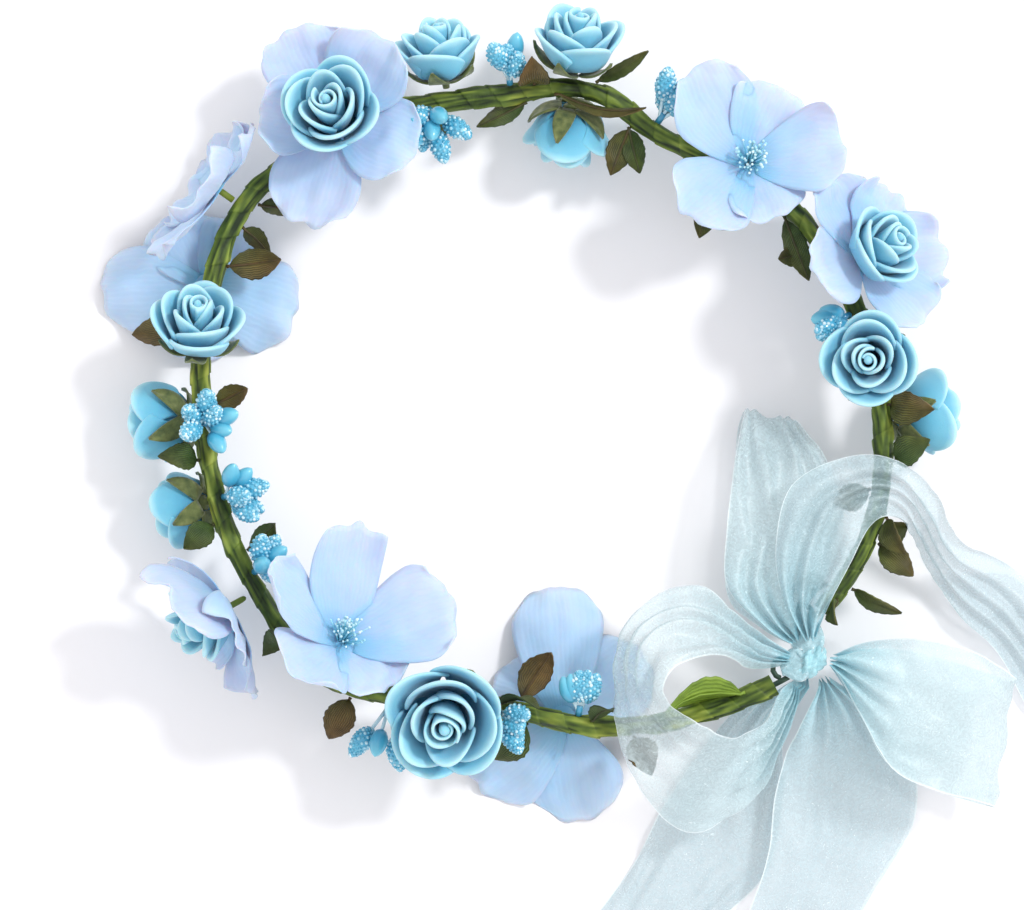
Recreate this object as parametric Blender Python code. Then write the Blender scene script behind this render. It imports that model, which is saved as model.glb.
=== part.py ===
"""Flower crown: a hand-bent wire ring wrapped in green paper, trimmed with foam roses, fabric
blossoms, berry picks and leaves, its open ends tied together by an organza bow.

The crown lies on a table. +Z is up, the origin is the middle of the head opening at table height,
and the gap that the bow ties is between +X and -Y. Angles are in degrees, anticlockwise from +X."""

import math

import bpy
import bmesh
from mathutils import Matrix, Vector

MM = 0.001

# Driving dimensions
RING_RADIUS = 86.8 * MM  # mean radius of the wrapped wire's centreline
RING_RADIUS_DRAWN = 86.8 * MM  # the ring radius that the trim's sizes below are drawn for
BAND_HEIGHT = 20.5 * MM  # centreline of the ring above the table
BAND_HEIGHT_DRAWN = 20.5 * MM  # the height that the ribbons' heights below are drawn for
WIRE_RADIUS = 0.8 * MM
WRAP_RADIUS = 3.0 * MM
EYE_RADIUS = 2.7 * MM  # centreline radius of the eye bent into each end of the wire
KNOT_OFFSET = 5.0 * MM  # the knot sits this far outside the line between the wrap's ends
STEM_RADIUS = 0.9 * MM
RIBBON_THICKNESS = 0.5 * MM
PETAL_THICKNESS = 0.6 * MM
LEAF_THICKNESS = 0.5 * MM
SEPAL_THICKNESS = 0.5 * MM
SUGAR_RADIUS = 3.3 * MM  # beaded berry head
SUGAR_LENGTH = 8.0 * MM
BUD_RADIUS = 2.3 * MM  # smooth berry head
BUD_LENGTH = 8.0 * MM
STALK_RADIUS = 0.6 * MM
KNOT_SIZE = (4.2 * MM, 4.2 * MM, 3.8 * MM)  # half its length, depth and height
STRAND_WIDTH = 2.2 * MM  # the gathered ribbon that passes through each eye
STRAND_THICKNESS = 0.7 * MM
GAP = 0.3 * MM  # clearance between pieces that touch

RING_ENDS = (-36.8, 309.4)  # where the wrap stops on each side of the open gap
BAND_STATIONS = 60
BAND_SIDES = 8
WIRE_SIDES = 6
EYE_TURN = 320
EYE_STEPS = 10
ROSE_SIDES = 10
BERRY_SIDES = 6
CURVE_STEPS = 2  # steps from one ribbon station to the next
RIBBON_CELLS = 3  # cells across a ribbon
ROSE_HEIGHT = 0.72  # height of a rose's head over its width
SEPAL_CLEARANCE = 0.025  # how far the sepals stand off a rose, over its width
ROSE_UNDERSIDE = ((0, -0.52), (0.22, -0.50), (0.55, -0.40), (0.86, -0.15))  # share out, share up
SEPAL_OUTLINE = ((0.20, 0), (0.34, 0.12), (0.55, 0.38))  # share of the rose's radius, depth of lobes
STAMEN_TUFT = ((1.8, 1), (4.4, 7), (1.2, 5))  # its radius and height above the blossom, in mm
STAMEN_LOBES = 0.25  # how deep the tuft's edge is cut between its threads
PETAL_NOTCH = 0.3  # where two petals part, as a share of the shorter one
EYELET_TWIST = 1.5  # spreads a petal's narrow foot round the eyelet
BERRY_OUTLINE = ((0.15, 0.62), (0.42, 1.0), (0.72, 0.85), (0.97, 0.3))  # share along, share out
LEAF_OUTLINE = ((0.0, 0.10), (0.18, 0.30), (0.38, 0.88), (0.58, 1.0), (0.80, 0.66), (1.0, 0.08))
LEAF_BOW = 0.12  # how far a leaf curls out of its plane, over its length
LEAF_FOLD = 0.25  # how far its sides rise from the crease, over half its width
HUB_HEIGHT = 2.5 * MM  # the foot of a pick, where its sprigs part
KNOT_LAYERS = (-0.92, -0.6, 0.0, 0.6, 0.92)  # the knot's rings, as shares of its half height
KNOT_SIDES = 10
KNOT_HOLD = 7.0  # how far from its middle the knot pinches the ribbons, in mm
STRAND_HOLD = 0.4  # how deep a strand starts inside the knot, over the knot's least half size

FIT = RING_RADIUS / RING_RADIUS_DRAWN
RISE = BAND_HEIGHT / BAND_HEIGHT_DRAWN
BORE_RADIUS = (WIRE_RADIUS + GAP) / math.cos(math.pi / BAND_SIDES)
EYELET_RADIUS = (STEM_RADIUS + GAP) / math.cos(math.pi / 5)
SEAT = WRAP_RADIUS + GAP  # from the band's centreline to the foot of a stem
EYE_NECK = EYE_RADIUS + WIRE_RADIUS + 2 * GAP  # from the wrap's end to the middle of the eye

# The hand-bent ring: angle, then how far its centreline lies off the mean radius, in mm
BENDS = (
    (-38, 4.2), (-20, 5.7), (0, 1.2), (18, -1.8), (35, -4.3), (52, -9.8), (66, -11.3), (80, -5.8),
    (100, -6.3), (125, -0.8), (146, 5.2), (165, 3.2), (185, 0.7), (212, 1.7), (232, 3.7),
    (250, -3.8), (264, -6.3), (280, -0.8), (310, 9.2),
)

# Roses: name, angle round the head, angle about the band (0 outward, 90 up, 180 inward), reach
# from the centreline to the middle of the head, lean along the band, width of the head in mm
ROSES = (
    ("rose_01", 126.5, 71, 20.0, 0, 25.0),
    ("rose_02", 107, 22, 14.5, 0, 21.0),
    ("rose_03", 84, 30, 15.0, 0, 22.5),
    ("rose_04", 84, 209, 13.8, 0, 22.0),
    ("rose_05", 23.5, 45, 19.0, 0, 21.0),
    ("rose_06", 7, 95, 16.5, 0, 23.5),
    ("rose_07", -3, -27, 14.2, 0, 22.5),
    ("rose_08", 172, 88, 15.5, -42, 22.5),
    ("rose_09", 183, -31, 13.6, 0, 21.5),
    ("rose_10", 197, -40, 12.8, 0, 19.5),
    ("rose_11", 214, 20, 18.5, 0, 20.0),
    ("rose_12", 253, 75, 17.5, 0, 30.0),
)
ROSES_ON_BLOSSOMS = ("rose_01", "rose_05", "rose_11")  # their stems pass through a blossom

# Blossoms: name, angle round the head, angle about the band, reach to the petals' plane, what holds
# them ("rose", "stamens" or their own "stem"), then each petal's turn, length, width and lift
BLOSSOMS = (
    ("blossom_01", 126.5, 71, 8.0, "rose", (
        (-90, 27, 21, 10), (-150, 24, 21, 20), (130, 23, 21, 5), (45, 28, 22, -12), (-28, 20, 19, 14))),
    ("blossom_02", 147, 28, 8.0, "stem", (
        (8, 24, 21, 12), (84, 20, 20, 25), (172, 19, 17, 5), (226, 18, 19, 10), (298, 18, 19, 10))),
    ("blossom_03", 161, -80, 7.0, "stem", (
        (73, 26, 20, 34), (141, 20, 18, 34), (-154, 19, 18, 34), (-84, 26, 22, 18), (-8, 20, 18, 30))),
    ("blossom_04", 48, 65, 8.0, "stamens", (
        (-26, 27, 22, 16), (-86, 22, 20, 14), (-146, 24, 20, 24), (72, 24, 21, 5), (140, 17, 19, 5))),
    ("blossom_05", 23.5, 45, 9.0, "rose", (
        (-6, 24, 20, 5), (84, 20, 19, 8), (196, 24, 20, 0), (250, 25, 20, 6), (302, 22, 18, 10))),
    ("blossom_06", 214, 20, 9.0, "rose", (
        (-8, 24, 20, 12), (66, 19, 19, 12), (143, 23, 20, 12), (215, 20, 18, 15), (284, 19, 18, 12))),
    ("blossom_07", 231, 130, 15.0, "stamens", (
        (129, 24, 21, 25), (49, 28, 22, 12), (-14, 19, 20, 8), (257, 24, 21, 10), (193, 26, 21, 12))),
    ("blossom_08", 274, -95, 7.0, "stem", (
        (-106, 33, 21, 26), (-46, 26, 20, 30), (68, 29, 22, 20), (128, 30, 22, 20), (190, 20, 18, 33))),
)

# Berry picks: name, angle round the head, angle about the band, then each sprig's kind, lean along
# the band, lean across it and length to the tip
BERRIES = (
    ("berries_01", 110.7, 125, (
        ("sugar", 30, 12, 14), ("sugar", -44, 20, 14), ("sugar", -6, 40, 15), ("bud", -16, -18, 13))),
    ("berries_02", 95.4, 40, (("sugar", 12, 15, 17), ("bud", -14, -8, 15))),
    ("berries_03", 67.4, 24, (("sugar", 22, 0, 15), ("sugar", -24, -4, 13), ("bud", 0, -30, 14))),
    ("berries_04", 184, 95, (
        ("sugar", -36, 4, 14), ("sugar", 12, -27, 14), ("bud", 41, 17, 13), ("bud", -9, 37, 14))),
    ("berries_05", 197, 128, (
        ("sugar", 38, 4, 13), ("bud", -36, -8, 13), ("sugar", 0, 30, 13))),
    ("berries_06", 211, 132, (("sugar", -34, -4, 13), ("bud", 18, 26, 13), ("bud", -4, -24, 13))),
    ("berries_07", 243, 14, (("sugar", 24, 3, 17), ("sugar", -26, -4, 16), ("bud", 2, 25, 15))),
    ("berries_08", 262.5, 70, (("sugar", 34, -28, 14), ("sugar", 38, 18, 13))),
    ("berries_09", 276.5, 150, (("sugar", 14, 0, 13), ("bud", -30, 0, 12))),
    ("berries_10", 15.5, 140, (("bud", 24, 0, 10), ("bud", -28, 0, 10))),
)

# Leaves: name, angle round the head, angle about the band, then each leaf's lean along the band,
# roll about its own length, length and width
LEAVES = (
    ("leaf_01", 157, 168, ((-24, 0, 14, 8),)),
    ("leaf_02", 91, 62, ((0, 0, 12, 8),)),
    ("leaf_03", 71, 176, ((-10, 0, 13, 7), (-52, 0, 12, 6))),
    ("leaf_04", 52, 195, ((-12, 0, 14, 8),)),
    ("leaf_05", 37, 150, ((-58, 30, 18, 6),)),
    ("leaf_06", -1, 38, ((-12, 0, 13, 9),)),
    ("leaf_07", -23, 5, ((-20, 0, 12, 7), (60, 0, 9, 6))),
    ("leaf_08", -31, 5, ((-12, 20, 14, 5),)),
    ("leaf_09", 304.5, 120, ((-70, 0, 23, 11),)),
    ("leaf_10", 266, 165, ((20, 0, 15, 8),)),
)

# Ribbons: each station holds the ribbon's two edges, in mm from the knot's middle in X and Y and
# from the table in Z. The loops leave the knot and come back to it; the tails end cut.
BOW_LOOP_UPPER = (
    ((-5.2, 4.9, 18.5), (-2.7, 6.4, 18.5)), ((-13.6, 9, 14), (-1.6, 13.5, 14)),
    ((-21.6, 17.5, 9), (3.9, 21.5, 9)), ((-21.1, 33.5, 6), (7.4, 37.5, 6)),
    ((-18.6, 49.5, 5), (1.4, 51.5, 5)), ((-15.6, 60.5, 6), (-5.1, 61.5, 6.5)),
    ((-14.1, 64.5, 10.5), (-7.1, 64.7, 11)), ((-15.1, 60.5, 15), (-5.1, 61, 15.5)),
    ((-18.1, 49.5, 19), (1.4, 51, 20)), ((-21.1, 33.5, 22), (7.4, 36.5, 22.5)),
    ((-22.1, 19.5, 24), (3.4, 21.5, 24.5)), ((-13.6, 10, 24), (-1.6, 13.5, 24.5)),
    ((-5.2, 4.9, 22.2), (-2.7, 6.4, 22.5)),
)
BOW_LOOP_LEFT = (
    ((-6.3, 2.2, 22.5), (-6, -1, 22.5)), ((-15.6, 7.5, 25), (-14.6, -1.5, 27.5)),
    ((-26.6, 17.5, 27), (-24.6, 1.5, 36)), ((-38.6, 18.5, 27), (-32.6, 0.5, 41)),
    ((-47.6, 10.5, 27), (-37.6, -2.5, 44)), ((-51.2, -2.5, 27), (-38.6, -7.5, 45)),
    ((-50.6, -16.5, 27), (-34.6, -12.5, 45)), ((-45.6, -31.5, 23), (-27.6, -16.5, 42)),
    ((-32.6, -44.5, 17), (-20.1, -18.5, 37)), ((-17.6, -38.5, 18), (-12.6, -15.5, 32)),
    ((-8.6, -22.5, 24), (-8.1, -9.5, 28.5)), ((-3.1, -7.5, 25.6), (-5.3, -5.5, 25.6)),
)
BOW_LOOP_RIGHT = (
    ((5.9, 1.5, 22.8), (5.6, -2, 22.8)), ((14.4, 5, 27), (11.4, -12.5, 28)),
    ((26.4, 6, 31), (20.4, -27.5, 31)), ((39.4, 3.5, 30), (32.4, -33.5, 29)),
    ((49.4, -1.5, 24), (43.4, -36.5, 23)), ((53.9, -5.5, 15.5), (48.4, -38.5, 15)),
    ((49.4, -4.5, 10), (43.4, -37.5, 10)), ((37.4, -0.5, 9), (31.4, -33.5, 9.5)),
    ((25.4, 2.5, 10.5), (19.4, -26.5, 11.5)), ((14.4, 3, 13.5), (11.4, -12.5, 14.5)),
    ((6.2, 1.5, 17.8), (5.9, -2, 17.8)),
)
RIBBON_TAIL_RIGHT = (
    ((-2.1, 5.7, 25.3), (0.9, 6, 25.3)), ((-7.6, 15.5, 27.5), (4.4, 14.5, 28)),
    ((-9.6, 29.5, 29.5), (10.4, 26.5, 30)), ((-5.6, 45.5, 31), (14.4, 34.5, 31.5)),
    ((8.4, 53, 31), (18.4, 37.5, 31)), ((20.9, 52, 29), (23.4, 36.5, 28)),
    ((29.4, 43.5, 24), (26.4, 33, 23)), ((34.4, 30.5, 16), (31.4, 23.5, 15)),
    ((42.4, 26.5, 9), (39.4, 13.5, 8)), ((54.4, 23.5, 5), (49.4, 1.5, 4)),
    ((68.4, 13.5, 2.5), (58.4, -14.5, 2)), ((80.4, 1.5, 1), (66.4, -24.5, 1)),
)
RIBBON_TAIL_LEFT = (
    ((-3.1, -5.3, 16.6), (-0.1, -5.7, 16.6)), ((-13.6, -12.5, 10), (-6.6, -18.5, 8)),
    ((-25.6, -26.5, 3.5), (-7.6, -34.5, 3)), ((-36.6, -40.5, 1.2), (-12.6, -54.5, 1.2)),
    ((-45.6, -53.5, 0.4), (-22.6, -68.5, 0.4)), ((-55.6, -67.5, 0.4), (-32.6, -82.5, 0.4)),
    ((-61.6, -77.5, 0.4), (-42.6, -97.5, 0.4)),
)
RIBBON_TAIL_FRONT = (
    ((1.9, -6.1, 17), (4.9, -4.5, 17)), ((-2.6, -18.5, 11), (12.4, -16.5, 9)),
    ((-7.6, -32.5, 5.5), (22.4, -28.5, 4)), ((-10.6, -49.5, 3), (27.4, -42.5, 2)),
    ((-15.6, -65.5, 2), (16.4, -62.5, 2)), ((-23.6, -82.5, 2), (6.4, -82.5, 2)),
    ((-31.6, -98.5, 2), (-3.6, -100.5, 2)),
)


def material(name, colour, roughness, metallic=0.0):
    mat = bpy.data.materials.new(name)
    mat.use_nodes = True
    shader = mat.node_tree.nodes["Principled BSDF"]
    shader.inputs["Base Color"].default_value = (*colour, 1.0)
    shader.inputs["Roughness"].default_value = roughness
    shader.inputs["Metallic"].default_value = metallic
    return mat


def ringed_mesh(rings, endless=False):
    """A closed skin over rings of equal count, capped at both ends, or joined end to end."""
    sides = len(rings[0])
    bm = bmesh.new()
    verts = [[bm.verts.new(point) for point in ring] for ring in rings]
    following = verts[1:] + ([verts[0]] if endless else [])
    for ring, after in zip(verts, following):
        for i in range(sides):
            k = (i + 1) % sides
            bm.faces.new((ring[i], ring[k], after[k], after[i]))
    if not endless:
        bm.faces.new(verts[0])
        bm.faces.new(verts[-1])
    bmesh.ops.recalc_face_normals(bm, faces=bm.faces)
    mesh = bpy.data.meshes.new("skin")
    bm.to_mesh(mesh)
    bm.free()
    return mesh


def add_piece(name, mesh, mat, parent=None, smooth=True):
    mesh.name = name
    mesh.materials.append(mat)
    if smooth:
        mesh.shade_smooth()
        mesh.set_sharp_from_angle(angle=math.radians(50))
    piece = bpy.data.objects.new(name, mesh)
    bpy.context.scene.collection.objects.link(piece)
    piece.parent = parent
    return piece


def add_joint_frame(name, matrix):
    """An empty at the foot of a stem: its X axis runs along the band and its Z axis up the stem."""
    empty = bpy.data.objects.new(name, None)
    empty.empty_display_size = 5 * MM
    empty.matrix_world = matrix
    bpy.context.scene.collection.objects.link(empty)
    return empty


def smooth_value(table, at):
    """A Catmull-Rom curve through (position, value) pairs, read at one position."""
    last = len(table) - 2
    i = next((n for n in range(last) if at < table[n + 1][0]), last)
    x0, y0 = table[max(i - 1, 0)]
    x1, y1 = table[i]
    x2, y2 = table[i + 1]
    x3, y3 = table[min(i + 2, len(table) - 1)]
    span = x2 - x1
    t = (at - x1) / span
    slope_in = (y2 - y0) / (x2 - x0) * span
    slope_out = (y3 - y1) / (x3 - x1) * span
    return (
        (2 * t**3 - 3 * t**2 + 1) * y1 + (t**3 - 2 * t**2 + t) * slope_in
        + (3 * t**2 - 2 * t**3) * y2 + (t**3 - t**2) * slope_out
    )


def band_point(angle):
    radius = RING_RADIUS + smooth_value(BENDS, angle) * MM * FIT
    turn = math.radians(angle)
    return Vector((radius * math.cos(turn), radius * math.sin(turn), BAND_HEIGHT))


def band_axes(angle):
    """The directions along the band, outward from it and up, at an angle round the head."""
    step = 0.5
    along = (band_point(angle + step) - band_point(angle - step)).normalized()
    up = Vector((0, 0, 1))
    return along, along.cross(up), up


def stem_frame(angle, around, lean=0):
    """Where a stem leaves the wrap: X along the band, Z up the stem."""
    along, outward, up = band_axes(angle)
    turn, tip = math.radians(around), math.radians(lean)
    away = outward * math.cos(turn) + up * math.sin(turn)
    z_axis = away * math.cos(tip) + along * math.sin(tip)
    x_axis = along * math.cos(tip) - away * math.sin(tip)
    y_axis = z_axis.cross(x_axis)
    frame = Matrix((x_axis, y_axis, z_axis)).transposed().to_4x4()
    frame.translation = band_point(angle) + away * SEAT
    return frame


def circle(radius, sides, z, lobes=0, depth=0.0, phase=0.0):
    """A ring of points about Z, its radius swelling at each of its lobes."""
    points = []
    for i in range(sides):
        turn = 2 * math.pi * (i + phase) / sides
        r = radius * (1 + depth * math.cos(lobes * turn))
        points.append(Vector((r * math.cos(turn), r * math.sin(turn), z)))
    return points


def band_section(centre, along, radius, sides):
    """The band's cross-section, with a flat facet underneath."""
    up = Vector((0, 0, 1))
    outward = along.cross(up)
    ring = []
    for i in range(sides):
        turn = 2 * math.pi * (i + 0.5) / sides
        ring.append(centre + (outward * math.cos(turn) + up * math.sin(turn)) * radius)
    return ring


def band_angles():
    first, last = RING_ENDS
    return [first + (last - first) * i / BAND_STATIONS for i in range(BAND_STATIONS + 1)]


def add_band(wire_mat, wrap_mat):
    outer, bore = [], []
    for angle in band_angles():
        along = band_axes(angle)[0]
        centre = band_point(angle)
        outer.append(band_section(centre, along, WRAP_RADIUS, BAND_SIDES))
        bore.append(band_section(centre, along, BORE_RADIUS, BAND_SIDES))
    add_piece("band_wrap", ringed_mesh(outer + bore[::-1], endless=True), wrap_mat)
    path = [(band_point(a), band_axes(a)[0]) for a in band_angles()]
    path = eye_path(RING_ENDS[0], -1)[::-1] + path[1:-1] + eye_path(RING_ENDS[1], 1)
    rings = [band_section(point, along, WIRE_RADIUS, WIRE_SIDES) for point, along in path]
    add_piece("core_wire", ringed_mesh(rings), wire_mat)


def eye_centre(angle, way):
    """The middle of the eye, past a neck that keeps the eye clear of the wrap's end."""
    along, outward, _ = band_axes(angle)
    return band_point(angle) + along * way * EYE_NECK - outward * EYE_RADIUS


def eye_path(angle, way):
    """Points and directions along the eye that the wire's end is bent into, from the wrap out."""
    along, outward, _ = band_axes(angle)
    path = [(band_point(angle), along)]
    for i in range(EYE_STEPS + 1):
        turn = math.radians(EYE_TURN) * i / EYE_STEPS
        point = eye_centre(angle, way) + outward * EYE_RADIUS * math.cos(turn)
        point += along * way * EYE_RADIUS * math.sin(turn)
        heading = along * math.cos(turn) - outward * way * math.sin(turn)
        path.append((point, heading))
    return path


def rose_rings(width, middle):
    """A foam rose's head: a cup of petals, a hollow inside their rim and a bud in the hollow."""
    radius, height = width / 2, width * ROSE_HEIGHT
    profile = [(r, z, 0) for r, z in ROSE_UNDERSIDE[1:]]
    profile += [(1.0, 0.15, 0.03), (0.97, 0.42, 0.06), (0.70, 0.34, 0.03), (0.45, 0.44, 0)]
    profile.append((0.20, 0.50, 0))
    return [circle(radius * r, ROSE_SIDES, middle + height * z, 5, depth) for r, z, depth in profile]


def calyx_rings(width, middle, lean):
    """A stem that flares into five sepals, which follow the underside of the rose. Its foot is cut
    level with the wrap, however far the stem leans."""
    radius, height = width / 2, width * ROSE_HEIGHT
    bottom = middle - height / 2

    def sepal_ring(share, depth, below):
        ring = circle(radius * share, ROSE_SIDES, 0, 5, depth)
        for point in ring:
            out = point.length / radius
            point.z = bottom + height * (smooth_value(ROSE_UNDERSIDE, out) + 0.5) - below
        return ring

    clear = GAP + width * SEPAL_CLEARANCE
    under = clear + SEPAL_THICKNESS
    foot = circle(STEM_RADIUS, ROSE_SIDES, 0)
    for point in foot:
        point.z = point.x * math.tan(math.radians(lean))
    rings = [foot, circle(STEM_RADIUS, ROSE_SIDES, bottom - under - STEM_RADIUS / 2)]
    rings += [sepal_ring(share, depth, under) for share, depth in SEPAL_OUTLINE]
    rings += [sepal_ring(share, depth, clear) for share, depth in SEPAL_OUTLINE[::-1]]
    return rings


def petal_points(petals):
    """The blossom's outline, five points to a petal: for each, how it runs out from the eyelet."""
    turns = [math.radians(petal[0]) for petal in petals]
    order = sorted(range(len(petals)), key=lambda i: turns[i] % (2 * math.pi))
    outline = []
    for place, i in enumerate(order):
        before = order[place - 1]
        turn, earlier = turns[i] % (2 * math.pi), turns[before] % (2 * math.pi)
        if earlier > turn:
            earlier -= 2 * math.pi
        length, width, lift = petals[i][1] * MM * FIT, petals[i][2] * MM * FIT, petals[i][3]
        notch = min(length, petals[before][1] * MM * FIT) * PETAL_NOTCH
        valley = (turn + earlier) / 2
        outline.append(((valley, notch * 0.6, 0.0), (valley, notch, 0.0), 0.0, length))
        for middle, rim in (
            ((0.42, -0.26), (0.70, -0.47)), ((0.50, -0.10), (1.0, -0.20)),
            ((0.50, 0.10), (1.0, 0.20)), ((0.42, 0.26), (0.70, 0.47)),
        ):
            inner = (turn, length * middle[0], width * middle[1])
            outer = (turn, length * rim[0], width * rim[1])
            outline.append((inner, outer, math.sin(math.radians(lift)), length))
    return outline


def petal_ring(points, z):
    """Points given by turn, distance out and distance sideways, raised by the petal's lift."""
    ring = []
    for (turn, out, side), rise, length in points:
        x = out * math.cos(turn) - side * math.sin(turn)
        y = out * math.sin(turn) + side * math.cos(turn)
        ring.append(Vector((x, y, z + out * rise * math.sqrt(out / length))))
    return ring


def blossom_mesh(petals, plane, held_by):
    """A flat fabric flower, open at its eyelet, or closed over a stem of its own."""
    outline = petal_points(petals)
    inner = [(p[0], p[2], p[3]) for p in outline]
    outer = [(p[1], p[2], p[3]) for p in outline]
    back, front = plane, plane + PETAL_THICKNESS
    skirt = [petal_ring(inner, back), petal_ring(outer, back)]
    skirt += [petal_ring(outer, front), petal_ring(inner, front)]
    radius = STEM_RADIUS if held_by == "stem" else EYELET_RADIUS

    def hub(z):
        turns = [foot[0] + foot[2] / length * EYELET_TWIST for foot, _, _, length in outline]
        return [Vector((radius * math.cos(turn), radius * math.sin(turn), z)) for turn in turns]

    if held_by == "stem":
        return ringed_mesh([hub(0), hub(back)] + skirt + [hub(front)])
    return ringed_mesh([hub(back)] + skirt + [hub(front)], endless=True)


def stamen_rings(plane):
    """A stem through the blossom's eyelet, opening into a tuft of stamens."""
    top = plane + PETAL_THICKNESS + GAP
    foot, rim, hollow = [(radius * MM, top + height * MM) for radius, height in STAMEN_TUFT]
    rings = [circle(STEM_RADIUS, ROSE_SIDES, 0), circle(STEM_RADIUS, ROSE_SIDES, top)]
    rings.append(circle(foot[0], ROSE_SIDES, foot[1]))
    rings.append(circle(rim[0], ROSE_SIDES, rim[1], 5, STAMEN_LOBES))
    rings.append(circle(hollow[0], ROSE_SIDES, hollow[1]))
    return rings


def sprig_rings(kind, lean, across, length):
    """A stalk from the foot of the pick to one berry head."""
    size, long = (SUGAR_RADIUS, SUGAR_LENGTH) if kind == "sugar" else (BUD_RADIUS, BUD_LENGTH)
    length = length * MM * FIT
    size, long = size * FIT, long * FIT
    turn = Matrix.Rotation(math.radians(lean), 3, "Y") @ Matrix.Rotation(math.radians(-across), 3, "X")
    profile = [(STALK_RADIUS, STALK_RADIUS), (STALK_RADIUS, length - long)]
    for share, swell in BERRY_OUTLINE:
        profile.append((size * swell, length - long + long * share))
    return [[turn @ point for point in circle(r, BERRY_SIDES, z)] for r, z in profile]


def leaf_rings(lean, roll, length, width):
    """One leaf from the foot of its stalk to its tip, with a crease along its middle."""
    turn = Matrix.Rotation(math.radians(lean), 3, "Y") @ Matrix.Rotation(math.radians(roll), 3, "Z")
    length, width = length * MM * FIT, width * MM * FIT
    rings = []
    for along, share in LEAF_OUTLINE:
        half, z = width * share / 2, LEAF_THICKNESS + (length - LEAF_THICKNESS) * along
        bow = length * LEAF_BOW * math.sin(math.pi * along)
        fold, thick = half * LEAF_FOLD, LEAF_THICKNESS
        section = (
            (-half, bow + fold, z), (0, bow, z), (half, bow + fold, z),
            (half, bow + fold + thick, z), (0, bow + thick, z), (-half, bow + fold + thick, z),
        )
        rings.append([turn @ Vector(point) for point in section])
    return rings


def add_union(name, meshes, mat, matrix):
    """Closed meshes that overlap, joined into one body by Boolean unions."""
    piece = add_piece(name, meshes[0], mat)
    piece.matrix_world = matrix
    for number, mesh in enumerate(meshes[1:], start=1):
        tool = add_piece(f"{name}_joins_{number}", mesh, mat)
        tool.matrix_world = matrix
        tool.hide_render = True
        tool.display_type = "WIRE"
        union = piece.modifiers.new(f"join_{number}", "BOOLEAN")
        union.operation = "UNION"
        union.solver = "EXACT"
        union.object = tool
    return piece


def hub_mesh(radius, height):
    """The foot that the parts of a pick grow out of."""
    return ringed_mesh([circle(radius, BERRY_SIDES, 0), circle(radius, BERRY_SIDES, height)])


def smooth_edges(stations, steps):
    """Ribbon stations with more between them, on Catmull-Rom curves through both edges."""
    full = []
    for i in range(len(stations) - 1):
        before, after = stations[max(i - 1, 0)], stations[min(i + 2, len(stations) - 1)]
        for step in range(steps):
            t = step / steps
            pair = []
            for side in (0, 1):
                a, b, c, d = (Vector(s[side]) for s in (before, stations[i], stations[i + 1], after))
                pair.append(0.5 * (
                    2 * b + (c - a) * t + (2 * a - 5 * b + 4 * c - d) * t**2
                    + (3 * b - a - 3 * c + d) * t**3))
            full.append(pair)
    full.append([Vector(point) for point in stations[-1]])
    return full


def placed(point):
    """A ribbon's point in the model: the ribbons grow with the ring, but not where the knot holds
    them."""
    reach = math.hypot(point.x, point.y) / KNOT_HOLD
    grown = 1 + (FIT - 1) * min(max(reach - 1, 0), 1)
    return Vector((point.x * grown, point.y * grown, point.z * RISE)) * MM


def ribbon_mesh(stations):
    """A strip of ribbon between two edges, with its real thickness across its face. Both faces are
    split along the same diagonals, so that they stay apart where the strip twists."""
    edges = smooth_edges(stations, CURVE_STEPS)
    middles = [(a + b) / 2 for a, b in edges]
    bm = bmesh.new()
    front, back = [], []
    for i, (first, second) in enumerate(edges):
        ahead = middles[min(i + 1, len(edges) - 1)] - middles[max(i - 1, 0)]
        face = ahead.cross(second - first).normalized() * (RIBBON_THICKNESS / 2 / MM)
        across = [first.lerp(second, n / RIBBON_CELLS) for n in range(RIBBON_CELLS + 1)]
        front.append([bm.verts.new(placed(point + face)) for point in across])
        back.append([bm.verts.new(placed(point - face)) for point in across])
    for skin in (front, back):
        for row, after in zip(skin, skin[1:]):
            for n in range(RIBBON_CELLS):
                bm.faces.new((row[n], row[n + 1], after[n + 1]))
                bm.faces.new((row[n], after[n + 1], after[n]))
    rims = [[row[n] for row in skin] for n in (0, -1) for skin in (front, back)]
    for over, under in ((rims[0], rims[1]), (rims[2], rims[3]), (front[0], back[0]), (front[-1], back[-1])):
        for n in range(len(over) - 1):
            bm.faces.new((over[n], over[n + 1], under[n + 1], under[n]))
    bmesh.ops.recalc_face_normals(bm, faces=bm.faces)
    mesh = bpy.data.meshes.new("ribbon")
    bm.to_mesh(mesh)
    bm.free()
    return mesh


def knot_centre():
    ends = [band_point(angle) for angle in RING_ENDS]
    middle = (ends[0] + ends[1]) / 2
    outward = Vector((middle.x, middle.y, 0)).normalized()
    return middle + outward * KNOT_OFFSET


def strand_mesh(toward, hold):
    """Ribbon from the knot over the near side of an eye, down through it and back to the knot."""
    level = WIRE_RADIUS + GAP + STRAND_THICKNESS / 2
    reach = toward.length
    half = STRAND_THICKNESS / 2
    bend = level
    path = [(hold, level, 0.0), (reach - bend, level, 0.0)]
    for i in range(1, 4):
        turn = math.pi * i / 4
        path.append((reach - bend + bend * math.sin(turn), level * math.cos(turn), turn))
    path += [(reach - bend, -level, math.pi), (hold, -level, math.pi)]
    ahead = toward.normalized()
    side = ahead.cross(Vector((0, 0, 1))) * STRAND_WIDTH / 2
    rings = []
    for out, height, turn in path:
        centre = ahead * out + Vector((0, 0, height))
        normal = (ahead * math.sin(turn) + Vector((0, 0, 1)) * math.cos(turn)) * half
        rings.append([centre + side + normal, centre - side + normal,
                      centre - side - normal, centre + side - normal])
    return ringed_mesh(rings)


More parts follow.
